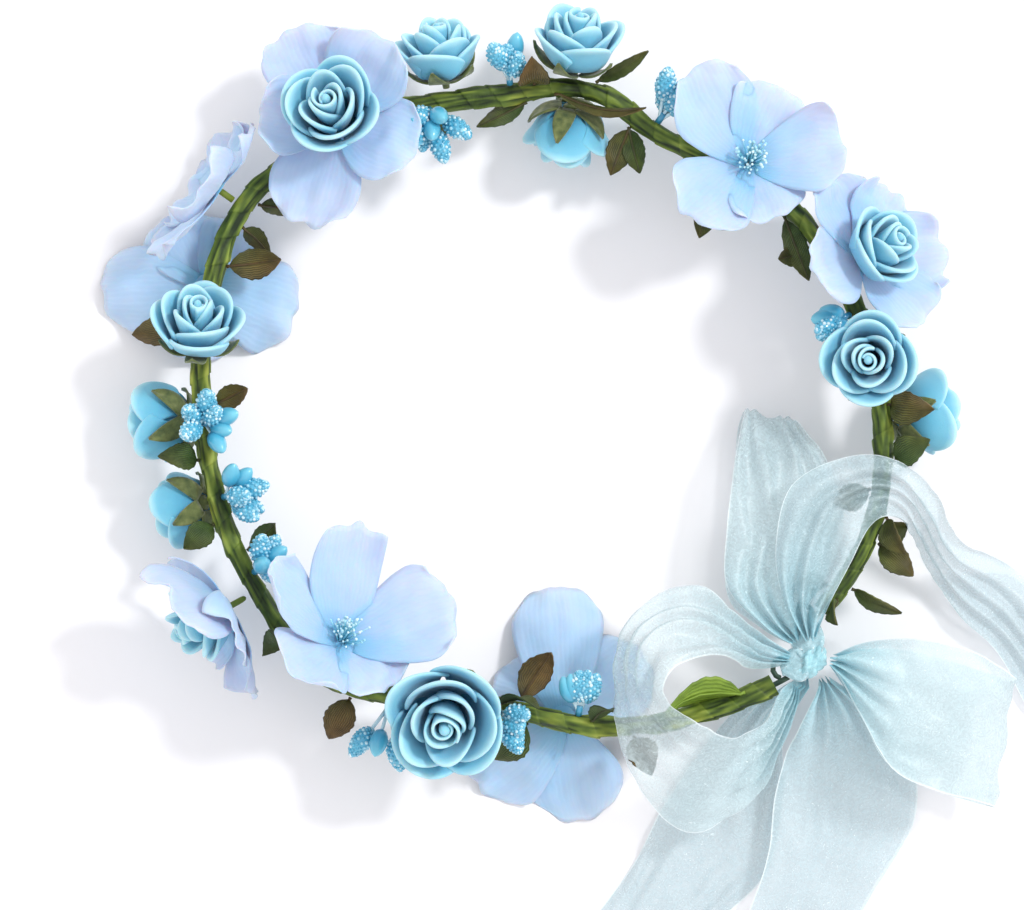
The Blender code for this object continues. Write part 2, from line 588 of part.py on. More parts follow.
def knot_mesh():
    length, depth, height = KNOT_SIZE
    rings = []
    for share in KNOT_LAYERS:
        swell = math.sqrt(1 - share * share)
        ring = [Vector((p.x * length, p.y * depth, height * share)) for p in circle(swell, KNOT_SIDES, 0)]
        rings.append(ring)
    return ringed_mesh(rings)


def add_bow(mat):
    centre = knot_centre()
    frame = Matrix.Translation(centre)
    hold = min(KNOT_SIZE) * STRAND_HOLD
    strands = [
        strand_mesh(eye_centre(end, way) - centre, hold) for end, way in zip(RING_ENDS, (-1, 1))
    ]
    add_union("ribbon_knot", [knot_mesh()] + strands, mat, frame)
    for name, stations in (
        ("bow_loop_upper", BOW_LOOP_UPPER), ("bow_loop_left", BOW_LOOP_LEFT),
        ("bow_loop_right", BOW_LOOP_RIGHT), ("ribbon_tail_right", RIBBON_TAIL_RIGHT),
        ("ribbon_tail_left", RIBBON_TAIL_LEFT), ("ribbon_tail_front", RIBBON_TAIL_FRONT),
    ):
        ribbon = add_piece(name, ribbon_mesh(stations), mat)
        ribbon.location = (centre.x, centre.y, 0)


def add_roses(foam, green):
    for name, angle, around, reach, lean, width in ROSES:
        stem = add_joint_frame(f"stem_{name}", stem_frame(angle, around, lean))
        width, middle = width * MM * FIT, reach * MM * FIT - SEAT
        rings = rose_rings(width, middle)
        if name in ROSES_ON_BLOSSOMS:
            neck = middle - width * ROSE_HEIGHT / 2 - STEM_RADIUS
            rings = [circle(STEM_RADIUS, ROSE_SIDES, 0), circle(STEM_RADIUS, ROSE_SIDES, neck)] + rings
        else:
            calyx = name.replace("rose", "calyx")
            add_piece(calyx, ringed_mesh(calyx_rings(width, middle, lean)), green, stem)
        add_piece(name, ringed_mesh(rings), foam, stem)


def add_blossoms(fabric, thread):
    for name, angle, around, reach, held_by, petals in BLOSSOMS:
        stem = add_joint_frame(f"stem_{name}", stem_frame(angle, around))
        plane = reach * MM * FIT - SEAT
        add_piece(name, blossom_mesh(petals, plane, held_by), fabric, stem)
        if held_by == "stamens":
            stamens = name.replace("blossom", "stamens")
            add_piece(stamens, ringed_mesh(stamen_rings(plane)), thread, stem)


def add_picks(sugar, leaf_mats):
    for name, angle, around, sprigs in BERRIES:
        meshes = [hub_mesh(STEM_RADIUS, HUB_HEIGHT)]
        meshes += [ringed_mesh(sprig_rings(*sprig)) for sprig in sprigs]
        add_union(name, meshes, sugar, stem_frame(angle, around))
    for name, angle, around, leaves in LEAVES:
        mat = leaf_mats["fresh"] if name == "leaf_09" else leaf_mats["olive"]
        meshes = [hub_mesh(STEM_RADIUS, HUB_HEIGHT)]
        meshes += [ringed_mesh(leaf_rings(*leaf)) for leaf in leaves]
        add_union(name, meshes, mat, stem_frame(angle, around))


def build():
    for thing in list(bpy.data.objects):
        bpy.data.objects.remove(thing)
    wire = material("galvanised_wire", (0.45, 0.46, 0.45), 0.4, 1.0)
    paper = material("green_stem_paper", (0.12, 0.20, 0.03), 0.7)
    foam = material("blue_foam", (0.22, 0.60, 0.82), 0.75)
    fabric = material("pale_blue_fabric", (0.55, 0.72, 0.93), 0.8)
    thread = material("stamen_thread", (0.35, 0.78, 0.88), 0.5)
    sugar = material("sugared_berry", (0.12, 0.52, 0.76), 0.35)
    organza = material("organza", (0.62, 0.80, 0.85), 0.45)
    olive = material("olive_leaf", (0.10, 0.11, 0.02), 0.65)
    fresh = material("fresh_leaf", (0.22, 0.34, 0.03), 0.6)
    add_band(wire, paper)
    add_bow(organza)
    add_roses(foam, olive)
    add_blossoms(fabric, thread)
    add_picks(sugar, {"olive": olive, "fresh": fresh})


build()
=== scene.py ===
"""Looks of the flower crown: foam roses, fabric blossoms, berry picks, leaves, the paper-wrapped
ring and the organza bow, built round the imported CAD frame. Lengths are in millimetres until a
piece is made, and angles in degrees. The crown's frame: +Z up, the table at Z = 0, the origin in
the middle of the head opening."""

import math
import random

import bmesh
import bpy
import numpy as np
from mathutils import Matrix, Vector, noise


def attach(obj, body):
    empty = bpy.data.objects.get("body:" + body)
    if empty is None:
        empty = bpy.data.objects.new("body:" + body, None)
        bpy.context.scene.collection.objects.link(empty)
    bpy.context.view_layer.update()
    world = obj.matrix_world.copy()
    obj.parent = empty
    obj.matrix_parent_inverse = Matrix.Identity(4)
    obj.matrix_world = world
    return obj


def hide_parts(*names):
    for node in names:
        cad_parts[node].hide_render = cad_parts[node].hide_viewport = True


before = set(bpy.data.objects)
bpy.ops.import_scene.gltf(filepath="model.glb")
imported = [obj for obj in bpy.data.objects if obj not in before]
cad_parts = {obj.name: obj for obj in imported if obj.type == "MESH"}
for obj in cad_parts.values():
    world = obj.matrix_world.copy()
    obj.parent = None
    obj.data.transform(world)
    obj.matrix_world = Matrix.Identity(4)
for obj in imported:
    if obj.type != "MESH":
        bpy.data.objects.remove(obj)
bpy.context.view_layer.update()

MM = 0.001
FLOOR_GAP = 0.2  # what lies on the table stays this far above it
FLOOR_EASE = 0.5  # how softly it is turned aside by the table

# The ring and how its trim stands on it, as in the CAD model
RING_RADIUS = 86.8
BAND_HEIGHT = 20.5
WRAP_RADIUS = 3.0
STEM_RADIUS = 0.9
SEAT = WRAP_RADIUS + 0.3
RING_ENDS = (-36.8, 309.4)
EYE_RADIUS = 2.7
EYE_NECK = EYE_RADIUS + 0.8 + 0.6
KNOT_OFFSET = 5.0
BENDS = (
    (-38, 4.2), (-20, 5.7), (0, 1.2), (18, -1.8), (35, -4.3), (52, -9.8), (66, -11.3), (80, -5.8),
    (100, -6.3), (125, -0.8), (146, 5.2), (165, 3.2), (185, 0.7), (212, 1.7), (232, 3.7),
    (250, -3.8), (264, -6.3), (280, -0.8), (310, 9.2),
)

# Roses: number, angle round the head, angle about the band, reach to the middle of the head, lean
# along the band, width, first petal's turn and how wavy the rim is
ROSES = (
    (1, 126.5, 71, 20.0, 0, 25.0, 40, 0.6), (2, 107, 22, 14.5, 0, 21.0, 75, 0.9),
    (3, 84, 30, 15.0, 0, 22.5, 20, 0.7), (4, 84, 209, 13.8, 0, 22.0, 100, 0.5),
    (5, 23.5, 45, 19.0, 0, 21.0, 10, 0.5), (6, 7, 95, 16.5, 0, 23.5, 65, 0.5),
    (7, -3, -27, 14.2, 0, 22.5, 30, 0.6), (8, 172, 88, 15.5, -42, 22.5, 85, 0.6),
    (9, 183, -31, 13.6, 0, 21.5, 50, 0.7), (10, 197, -40, 12.8, 0, 19.5, 15, 0.6),
    (11, 214, 20, 18.5, 0, 20.0, 95, 0.9), (12, 253, 75, 17.5, 0, 30.0, 55, 1.1),
)
ROSES_ON_BLOSSOMS = {1: "flower_01", 5: "flower_05", 11: "flower_06"}  # rose: the body it rides on
ROSE_HEIGHT = 0.72  # of its width
# Layers of petals, outside first: how many, radius and height of their rims as shares of the
# head's, how far each petal reaches round, and how far its rim curls outward
ROSE_LAYERS = (
    (4, 0.97, 0.74, 124, 0.13), (3, 0.80, 0.88, 142, 0.11), (3, 0.59, 0.97, 140, 0.06),
    (2, 0.38, 1.00, 200, 0.0),
)
FOAM = 1.15  # thickness of a foam petal
SEPALS = 5
SEPAL_CLOTH = 0.45

# Blossoms: number, angle round the head, angle about the band, reach to the petals' plane, what
# holds them, then each petal's turn, length, width and lift
BLOSSOMS = (
    (1, 126.5, 71, 8.0, "rose", (
        (-90, 27, 21, 10), (-150, 24, 21, 20), (130, 23, 21, 5), (45, 28, 22, -12), (-28, 20, 19, 14))),
    (2, 147, 17, 8.0, "stem", (
        (8, 24, 21, 12), (84, 20, 20, 25), (172, 19, 17, 5), (226, 18, 19, 10), (298, 18, 19, 10))),
    (3, 161, -80, 7.0, "stem", (
        (73, 26, 20, 34), (141, 20, 18, 34), (-154, 19, 18, 34), (-84, 26, 22, 18), (-8, 20, 18, 30))),
    (4, 48, 65, 8.0, "stamens", (
        (-26, 27, 22, 16), (-86, 22, 20, 14), (-146, 24, 20, 24), (72, 24, 21, 5), (140, 17, 19, 5))),
    (5, 23.5, 45, 9.0, "rose", (
        (-6, 24, 20, 5), (84, 21, 19, 8), (196, 23, 19, 8), (250, 26, 20, 8), (302, 22, 18, 10))),
    (6, 214, 20, 9.0, "rose", (
        (-8, 24, 20, 12), (66, 19, 19, 20), (118, 22, 24, 60), (215, 20, 18, 15), (284, 19, 18, 12))),
    (7, 231, 130, 15.0, "stamens", (
        (129, 25, 18, 40), (49, 28, 23, 30), (-14, 18, 20, 8), (257, 24, 21, 16), (193, 27, 16, 30))),
    (8, 274, -95, 7.0, "stem", (
        (-106, 33, 21, 26), (-46, 26, 20, 30), (68, 29, 22, 20), (128, 30, 22, 20), (190, 20, 18, 33))),
)
PETAL_FULLNESS = 1.1  # how much wider a petal is cut than it looks when it is cupped
CLOTH = 0.35  # thickness of a fabric petal or leaf
STAMENS = 58  # in each tuft

# Berry picks: number, angle round the head, angle about the band, then each sprig's kind, lean
# along the band, lean across it and length
BERRIES = (
    (1, 110.7, 125, (
        ("sugar", 30, 12, 14), ("sugar", -44, 20, 14), ("sugar", -6, 40, 15), ("bud", -16, -18, 13))),
    (2, 95.4, 40, (("sugar", 12, 15, 17), ("bud", -14, -8, 15))),
    (3, 67.4, 24, (("sugar", 22, 0, 15), ("sugar", -24, -4, 13), ("bud", 0, -30, 14))),
    (4, 184, 95, (
        ("sugar", -36, 4, 14), ("sugar", 12, -27, 14), ("bud", 41, 17, 13), ("bud", -9, 37, 14))),
    (5, 197, 128, (("sugar", 38, 4, 13), ("bud", -36, -8, 13), ("sugar", 0, 30, 13))),
    (6, 211, 132, (("sugar", -34, -4, 13), ("bud", 18, 26, 13), ("bud", -4, -24, 13))),
    (7, 243, 14, (("sugar", 20, -12, 17), ("sugar", -30, -10, 16), ("bud", -6, 14, 15))),
    (8, 262.5, 70, (("sugar", 34, -28, 14), ("sugar", 38, 18, 13))),
    (9, 276.5, 150, (("sugar", 14, 0, 13), ("bud", -30, 0, 12))),
    (10, 15.5, 140, (("bud", 24, 0, 10), ("bud", -28, 0, 10))),
)
HEADS = {"sugar": (2.9, 9.2), "bud": (2.3, 8.8)}  # radius and length of a berry head
BEAD_RADIUS = 0.47
BEADS = 130  # on each sugared head
GOLDEN_TURN = math.pi * (3 - math.sqrt(5))  # from one bead to the next, round the head
CROWDED_PICK = 7  # a rose leans over this one, so it gets no spare sprigs
SPARE_SPRIGS = ("sugar", "bud", "sugar")  # shorter ones that fill the others out, in the gaps
SPARE_LENGTH = 13.2  # of an upright one; they are shorter the further they lean
SPOTS_TRIED = 14  # for each of them; the one with the most room is taken

# Leaves: number, angle round the head, angle about the band, then each leaf's lean along the band,
# roll about its own length, length, width and how brown it is
LEAVES = (
    (1, 157, 168, ((-24, 0, 14, 8, 0.7),)),
    (2, 91, 62, ((0, 0, 12, 8, 0.8),)),
    (3, 71, 176, ((-17, 0, 13, 7, 0.5), (-52, 0, 12, 6, 0.1))),
    (4, 52, 195, ((-12, 0, 17, 9, 0.3),)),
    (5, 37, 150, ((-58, 30, 18, 6, 0.2),)),
    (6, -1, 38, ((-12, 0, 13, 9, 0.6),)),
    (7, -23, 5, ((-20, 0, 12, 7, 0.5), (60, 0, 9, 6, 0.3))),
    (8, -31, 5, ((12, 35, 14, 4.6, 0.3),)),
    (9, 304.5, 120, ((-70, 0, 23, 11, 0.0),)),
    (10, 266, 165, ((20, 0, 15, 8, 0.9),)),
)
FRESH_LEAF = 9  # the one bright green leaf
# Small leaves and scraps of green cloth taped in between the flowers: where each stands, then its
# leaf, as for LEAVES
TRIM_LEAVES = (
    (168, -14, 14, 0, 16, 8, 0.7), (181, 160, -20, 10, 10, 6, 0.7), (93, 190, 70, 10, 14, 5, 0.2),
    (87, 120, -68, 20, 25, 3.4, 0.5), (112, 200, -30, 20, 9, 5, 0.2), (80, 20, -40, 10, 16, 4, 0.3),
    (201, 15, 20, 10, 10, 7, 0.1), (207, 160, -20, -20, 10, 7, 0.1), (262, 100, 50, 10, 14, 7, 0.1),
    (268, -20, -25, 0, 13, 9, 0.1), (237, -10, -10, 0, 12, 8, 0.9), (145, 195, -25, 20, 12, 5, 0.4),
    (150, 200, 15, 20, 10, 5, 0.5), (-10, 30, 30, 0, 11, 8, 0.1), (12, 110, -40, 10, 12, 6, 0.2),
    (29, 165, 20, 0, 9, 6, 0.4), (-15, 170, -30, 10, 10, 7, 0.6), (-19, 30, -45, 20, 11, 7, 0.5),
    (-33, 160, -35, 0, 8, 5, 0.4), (-34, 60, -40, 30, 8, 6, 0.2), (286, 20, 20, 0, 11, 8, 0.9),
    (222, 60, 10, 10, 10, 6, 0.1), (190, 30, -15, 10, 11, 7, 0.1), (279, 115, 30, 10, 10, 6, 0.1),
)

# Ribbons: X, Y and Z of one edge, then of the other, at each station. X and Y are from the knot's
# middle and Z from the table, as in the CAD model
BOW_LOOP_UPPER = (
    (-5.2, 4.9, 18.5, -2.7, 6.4, 18.5), (-13.6, 9, 14, -1.6, 13.5, 14), (-21.6, 17.5, 9, 3.9, 21.5, 9),
    (-21.1, 33.5, 6, 7.4, 37.5, 6), (-19.6, 49.5, 5, 3.4, 51.5, 5), (-18.6, 60.5, 6, -1.6, 59.5, 6.5),
    (-17.1, 64.5, 10.5, -4.1, 63, 11), (-18.1, 60.5, 15, -1.1, 59, 15.5), (-20.1, 49.5, 19, 4.4, 51, 20),
    (-22.1, 33.5, 22, 8.4, 36.5, 22.5), (-22.1, 19.5, 24, 3.4, 21.5, 24.5),
    (-13.6, 10, 24, -1.6, 13.5, 24.5), (-5.2, 4.9, 22.2, -2.7, 6.4, 22.5),
)
BOW_LOOP_LEFT = (
    (-6.3, 2.2, 22.5, -6, -1, 22.5), (-15.6, 7.5, 25, -14.6, -1.5, 27.5), (-26.6, 17.5, 27, -24.6, 1.5, 36),
    (-38.6, 18.5, 27, -32.6, 0.5, 41), (-47.6, 10.5, 27, -37.6, -2.5, 44),
    (-51.2, -2.5, 27, -38.6, -7.5, 45), (-50.6, -16.5, 27, -34.6, -12.5, 45),
    (-45.6, -31.5, 23, -27.6, -16.5, 42), (-32.6, -44.5, 17, -20.1, -18.5, 37),
    (-17.6, -38.5, 18, -12.6, -15.5, 32), (-8.6, -22.5, 24, -8.1, -9.5, 28.5),
    (-3.1, -7.5, 25.6, -5.3, -5.5, 25.6),
)
BOW_LOOP_RIGHT = (
    (5.9, 1.5, 22.8, 5.6, -2, 22.8), (14.4, 5, 27, 11.4, -12.5, 28), (26.4, 6, 31, 20.4, -27.5, 31),
    (39.4, 3.5, 30, 32.4, -33.5, 29), (49.4, -1.5, 24, 43.4, -36.5, 23),
    (53.9, -5.5, 15.5, 48.4, -38.5, 15), (49.4, -4.5, 10, 43.4, -37.5, 10),
    (37.4, -0.5, 9, 31.4, -33.5, 9.5), (25.4, 2.5, 10.5, 19.4, -26.5, 11.5),
    (14.4, 3, 13.5, 11.4, -12.5, 14.5), (6.2, 1.5, 17.8, 5.9, -2, 17.8),
)
RIBBON_TAIL_RIGHT = (
    (-2.1, 5.7, 25.3, 0.9, 6, 25.3), (-7.6, 15.5, 27.5, 4.4, 14.5, 28), (-9.6, 29.5, 29.5, 10.4, 26.5, 30),
    (-5.6, 45.5, 31, 14.4, 34.5, 31.5), (8.4, 53, 31, 18.4, 37.5, 31), (20.9, 52, 32, 23.4, 36.5, 25),
    (30.4, 43.5, 30, 26.4, 32, 17), (37.4, 32.5, 25, 31.4, 22.5, 9), (44.4, 28.5, 15, 39.4, 11.5, 6),
    (54.4, 23.5, 6, 49.4, 1.5, 4), (68.4, 13.5, 2.5, 58.4, -14.5, 2), (80.4, 1.5, 1, 66.4, -24.5, 1),
)
RIBBON_TAIL_LEFT = (
    (-3.1, -5.3, 15.6, -0.1, -5.7, 15.6), (-15.6, -10.5, 9.5, -6.6, -19.5, 6),
    (-28.6, -24.5, 3.5, -6.6, -35.5, 2.5), (-38.6, -39.5, 1.2, -10.6, -55.5, 1.2),
    (-45.6, -53.5, 0.4, -22.6, -68.5, 0.4), (-55.6, -67.5, 0.4, -32.6, -82.5, 0.4),
    (-61.6, -77.5, 0.4, -42.6, -97.5, 0.4),
)
RIBBON_TAIL_FRONT = (
    (1.9, -6.1, 17, 4.9, -4.5, 17), (-3.6, -18.5, 13.5, 18.4, -14.5, 9), (-8.6, -32.5, 9, 27.4, -27.5, 4),
    (-10.6, -49.5, 7, 27.4, -43.5, 2), (-15.6, -65.5, 5.5, 16.4, -62.5, 2),
    (-23.6, -82.5, 2, 6.4, -82.5, 2), (-31.6, -98.5, 2, -3.6, -100.5, 2),
)


# ---- materials

def new_material(name, **sockets):
    """A material with a Principled shader whose sockets hold these constant values."""
    mat = bpy.data.materials.new(name)
    mat.use_nodes = True
    shader = mat.node_tree.nodes["Principled BSDF"]
    for socket, value in sockets.items():
        shader.inputs[socket.replace("_", " ")].default_value = value
    return mat, shader


def add_node(mat, kind, inputs=None, **settings):
    """A node with its settings, its inputs either constants or other nodes' outputs."""
    node = mat.node_tree.nodes.new(kind)
    for key, value in settings.items():
        setattr(node, key, value)
    for key, value in (inputs or {}).items():
        if isinstance(value, bpy.types.NodeSocket):
            mat.node_tree.links.new(value, node.inputs[key])
        else:
            node.inputs[key].default_value = value
    return node


def connect(mat, output, shader, socket):
    mat.node_tree.links.new(output, shader.inputs[socket])


def noise_in(mat, scale, detail=3.0, twist=0.0):
    """Noise over the object, finer as scale grows, drawn out into strands as twist grows."""
    place = add_node(mat, "ShaderNodeTexCoord").outputs["Object"]
    inputs = {"Vector": place, "Scale": scale, "Detail": detail, "Distortion": twist}
    return add_node(mat, "ShaderNodeTexNoise", inputs).outputs["Fac"]


def stripes_in(mat, scale, distortion):
    """Fine lines that run the length of a petal, a leaf or a ribbon."""
    place = add_node(mat, "ShaderNodeTexCoord").outputs["UV"]
    inputs = {"Vector": place, "Scale": scale, "Distortion": distortion, "Detail": 2.0}
    return add_node(mat, "ShaderNodeTexWave", inputs, bands_direction="X").outputs["Fac"]


def tone_in(mat):
    """The tone that each point of the mesh carries."""
    return add_node(mat, "ShaderNodeAttribute", attribute_name="tone").outputs["Fac"]


def ramp_of(mat, factor, *stops):
    """Colours along a factor: each stop is a position and a colour."""
    node = add_node(mat, "ShaderNodeValToRGB", {"Fac": factor})
    band = node.color_ramp
    while len(band.elements) < len(stops):
        band.elements.new(1.0)
    for element, (position, colour) in zip(band.elements, stops):
        element.position = position
        element.color = (*colour, 1.0)
    return node.outputs["Color"]


def rise_of(mat, factor, low, high):
    """Nothing below the low position, rising to the full value at the high one."""
    return ramp_of(mat, factor, (low, (0, 0, 0)), (high, (1, 1, 1)))


def mixed(mat, factor, first, second, blend="MIX"):
    first, second = ((*c, 1.0) if isinstance(c, tuple) else c for c in (first, second))
    inputs = {0: factor, 6: first, 7: second}
    return add_node(mat, "ShaderNodeMix", inputs, data_type="RGBA", blend_type=blend).outputs[2]


def shaded(mat, colour, shade):
    """A colour with a second pattern multiplied into it."""
    return mixed(mat, 1.0, colour, shade, "MULTIPLY")


def sum_of(mat, operation, first, second):
    return add_node(mat, "ShaderNodeMath", {0: first, 1: second}, operation=operation).outputs[0]


def bumped(mat, shader, height, strength, distance):
    """Relief this many millimetres deep."""
    inputs = {"Height": height, "Strength": strength, "Distance": distance * MM}
    connect(mat, add_node(mat, "ShaderNodeBump", inputs).outputs[0], shader, "Normal")


def foam_look():
    """Soft matt foam: pale at the cut rims, with painted shade that makes it deeper blue down in the folds.
    """
    mat, shader = new_material(
        "rose_foam", Roughness=0.62, Subsurface_Weight=0.25, Subsurface_Scale=0.002,
        Sheen_Weight=0.25, Sheen_Roughness=0.6, Specular_IOR_Level=0.3)
    # Colour by tone: the deep blue at the low end is painted shade down in the folds
    colour = ramp_of(
        mat, tone_in(mat), (0.0, (0.03, 0.25, 0.44)), (0.45, (0.12, 0.45, 0.63)),
        (0.80, (0.20, 0.55, 0.71)), (0.97, (0.46, 0.77, 0.84)))
    patches = ramp_of(mat, noise_in(mat, 160), (0.3, (0.86, 0.92, 0.95)), (0.7, (1, 1, 1)))
    connect(mat, shaded(mat, colour, patches), shader, "Base Color")
    bumped(mat, shader, noise_in(mat, 2600, 4), 0.25, 0.25)
    return mat


def petal_look():
    """Thin woven polyester, pressed into petals: pale lilac blue, aqua towards the eyelet, where painted
    shade also deepens it.
    """
    mat, shader = new_material(
        "petal_fabric", Roughness=0.75, Subsurface_Weight=0.3, Subsurface_Scale=0.003,
        Sheen_Weight=0.35, Sheen_Roughness=0.5, Specular_IOR_Level=0.2)
    # Colour by tone: the deep aqua at the low end is partly the cloth's dye and partly painted shade round
    # the eyelet
    along = ramp_of(
        mat, tone_in(mat), (0.0, (0.15, 0.44, 0.64)), (0.3, (0.35, 0.55, 0.74)),
        (0.8, (0.47, 0.62, 0.79)), (1.0, (0.60, 0.71, 0.82)))
    patches = ramp_of(mat, noise_in(mat, 70, 4), (0.3, (0.84, 0.93, 1.0)), (0.7, (1.03, 0.98, 1.0)))
    stripes = stripes_in(mat, 5.0, 4.0)
    veins = ramp_of(mat, stripes, (0.0, (0.98, 0.985, 0.99)), (0.4, (1, 1, 1)))
    connect(mat, shaded(mat, shaded(mat, along, patches), veins), shader, "Base Color")
    bumped(mat, shader, sum_of(mat, "ADD", stripes, noise_in(mat, 700, 5)), 0.25, 0.14)
    return mat


def sepal_look():
    """Mottled moss-green cloth."""
    mat, shader = new_material("calyx_cloth", Roughness=0.8, Sheen_Weight=0.3)
    colour = ramp_of(
        mat, noise_in(mat, 420, 5), (0.3, (0.045, 0.075, 0.02)), (0.55, (0.13, 0.16, 0.045)),
        (0.75, (0.22, 0.24, 0.09)))
    connect(mat, colour, shader, "Base Color")
    bumped(mat, shader, noise_in(mat, 1400, 3), 0.5, 0.3)
    return mat


def leaf_look():
    """Waxed cloth leaves from olive to brown, with veins that run to the tip."""
    mat, shader = new_material("leaf_cloth", Roughness=0.48, Specular_IOR_Level=0.45)
    body = ramp_of(
        mat, tone_in(mat), (0.0, (0.055, 0.10, 0.022)), (0.4, (0.085, 0.095, 0.02)),
        (0.75, (0.12, 0.085, 0.022)), (1.0, (0.15, 0.085, 0.025)))
    mottle = ramp_of(mat, noise_in(mat, 300, 5), (0.3, (0.55, 0.6, 0.5)), (0.7, (1.25, 1.25, 1.2)))
    stripes = stripes_in(mat, 4.5, 1.2)
    veins = ramp_of(mat, stripes, (0.1, (0.5, 0.5, 0.45)), (0.6, (1.15, 1.15, 1.1)))
    connect(mat, shaded(mat, shaded(mat, body, mottle), veins), shader, "Base Color")
    bumped(mat, shader, stripes, 0.6, 0.3)
    return mat


def fresh_leaf_look():
    """The same cloth in a bright, uneven yellow-green."""
    mat, shader = new_material("fresh_leaf_cloth", Roughness=0.5, Specular_IOR_Level=0.4)
    body = ramp_of(
        mat, noise_in(mat, 140, 4), (0.3, (0.13, 0.22, 0.02)), (0.55, (0.24, 0.36, 0.04)),
        (0.8, (0.36, 0.47, 0.08)))
    stripes = stripes_in(mat, 2.5, 2.0)
    veins = ramp_of(mat, stripes, (0.1, (0.88, 0.9, 0.8)), (0.5, (1, 1, 1)))
    connect(mat, shaded(mat, body, veins), shader, "Base Color")
    bumped(mat, shader, stripes, 0.5, 0.4)
    return mat


def paper_look():
    """Waxed crepe-paper tape, with painted shade in its creases and under the edge of each turn, and painted
    highlights, yellow-green, on its ridges and over the stems under it.
    """
    mat, shader = new_material("stem_tape", Roughness=0.6, Specular_IOR_Level=0.35)
    # Painted shade and painted highlights: dark in the creases and under each turn's edge, yellow-green on
    # the ridges and over the stems
    turns = ramp_of(
        mat, tone_in(mat), (0.0, (0.012, 0.026, 0.006)), (0.35, (0.07, 0.115, 0.015)),
        (0.65, (0.15, 0.215, 0.028)), (1.0, (0.30, 0.37, 0.07)))
    worn = ramp_of(
        mat, noise_in(mat, 90, 5), (0.35, (0.55, 0.62, 0.5)), (0.55, (1, 1, 1)), (0.75, (1.35, 1.1, 0.8)))
    connect(mat, shaded(mat, turns, worn), shader, "Base Color")
    bumped(mat, shader, noise_in(mat, 900, 5), 0.6, 0.35)
    return mat


def wire_look():
    """Dark green painted wire, slightly worn."""
    mat, shader = new_material("painted_wire", Roughness=0.4, Metallic=0.35)
    colour = ramp_of(mat, noise_in(mat, 500), (0.35, (0.02, 0.05, 0.03)), (0.7, (0.07, 0.11, 0.08)))
    connect(mat, colour, shader, "Base Color")
    bumped(mat, shader, noise_in(mat, 1200), 0.2, 0.1)
    return mat


def thread_look():
    """Stamens: aqua threads, nearly white at their tips."""
    mat, shader = new_material("stamen_thread", Roughness=0.4, Sheen_Weight=0.2)
    colour = ramp_of(
        mat, tone_in(mat), (0.0, (0.10, 0.50, 0.66)), (0.6, (0.20, 0.62, 0.74)), (1.0, (0.75, 0.90, 0.92)))
    grain = ramp_of(mat, noise_in(mat, 900), (0.3, (0.8, 0.85, 0.9)), (0.7, (1, 1, 1)))
    connect(mat, shaded(mat, colour, grain), shader, "Base Color")
    return mat


def pearl_look():
    """Lacquered berry buds, deeper blue towards the stalk."""
    mat, shader = new_material(
        "berry_lacquer", Roughness=0.28, Coat_Weight=0.5, Coat_Roughness=0.15, Specular_IOR_Level=0.6)
    colour = ramp_of(
        mat, tone_in(mat), (0.0, (0.05, 0.30, 0.50)), (0.5, (0.07, 0.42, 0.62)), (1.0, (0.16, 0.55, 0.70)))
    grain = ramp_of(mat, noise_in(mat, 260, 4), (0.3, (0.8, 0.88, 0.92)), (0.7, (1.1, 1.06, 1.04)))
    connect(mat, shaded(mat, colour, grain), shader, "Base Color")
    bumped(mat, shader, noise_in(mat, 700, 3), 0.2, 0.2)
    return mat


def bead_look():
    """Tiny glass beads, some clear blue and some frosted white."""
    mat, shader = new_material(
        "berry_beads", Roughness=0.15, Coat_Weight=0.6, Coat_Roughness=0.08, Specular_IOR_Level=0.7)
    colour = ramp_of(
        mat, tone_in(mat), (0.0, (0.07, 0.38, 0.56)), (0.5, (0.14, 0.50, 0.68)), (0.75, (0.38, 0.70, 0.82)),
        (1.0, (0.80, 0.92, 0.95)))
    grain = ramp_of(mat, noise_in(mat, 1100), (0.35, (0.8, 0.88, 0.92)), (0.6, (1, 1, 1)))
    connect(mat, shaded(mat, colour, grain), shader, "Base Color")
    return mat


def organza_look(name, density, colour):
    """Sheer woven ribbon: see-through between its threads, denser at the selvedges, with painted glints."""
    mat, shader = new_material(
        name, Roughness=0.38, Sheen_Weight=0.4, Sheen_Roughness=0.35, Specular_IOR_Level=0.6)
    place = add_node(mat, "ShaderNodeTexCoord").outputs["UV"]
    across = add_node(mat, "ShaderNodeSeparateXYZ", {0: place}).outputs[0]
    aside = sum_of(mat, "ABSOLUTE", sum_of(mat, "SUBTRACT", across, 0.5), 0.0)
    selvedge = rise_of(mat, aside, 0.486, 0.496)
    threads = rise_of(mat, noise_in(mat, 420, 7, 3.0), 0.40, 0.64)
    folds = rise_of(mat, noise_in(mat, 60, 4), 0.35, 0.7)
    # Painted glints: pale specks which, like the real selvedge, turn the colour whiter and the cloth more
    # opaque
    glints = rise_of(mat, noise_in(mat, 800, 8, 4.0), 0.61, 0.72)
    bright = sum_of(mat, "MAXIMUM", glints, selvedge)
    tint = mixed(mat, folds, colour, tuple(0.14 + 0.84 * c for c in colour))
    gathered = tone_in(mat)
    tint = mixed(mat, gathered, tint, (0.33, 0.67, 0.76))
    connect(mat, mixed(mat, bright, tint, (0.74, 0.83, 0.85)), shader, "Base Color")
    opacity = density
    for pattern, share in ((threads, 0.2), (folds, 0.08), (gathered, 0.35), (bright, 0.35)):
        opacity = sum_of(mat, "ADD", sum_of(mat, "MULTIPLY", pattern, share), opacity)
    connect(mat, sum_of(mat, "MINIMUM", opacity, 1.0), shader, "Alpha")
    bumped(mat, shader, noise_in(mat, 300, 7, 2.0), 0.5, 0.4)
    return mat


def floor_look():
    """A plain, pale table top."""
    mat, shader = new_material("table_top", Roughness=0.7, Specular_IOR_Level=0.2)
    tint = ramp_of(mat, noise_in(mat, 3), (0.3, (0.93, 0.92, 0.94)), (0.7, (0.94, 0.93, 0.95)))
    connect(mat, tint, shader, "Base Color")
    return mat


# ---- shapes

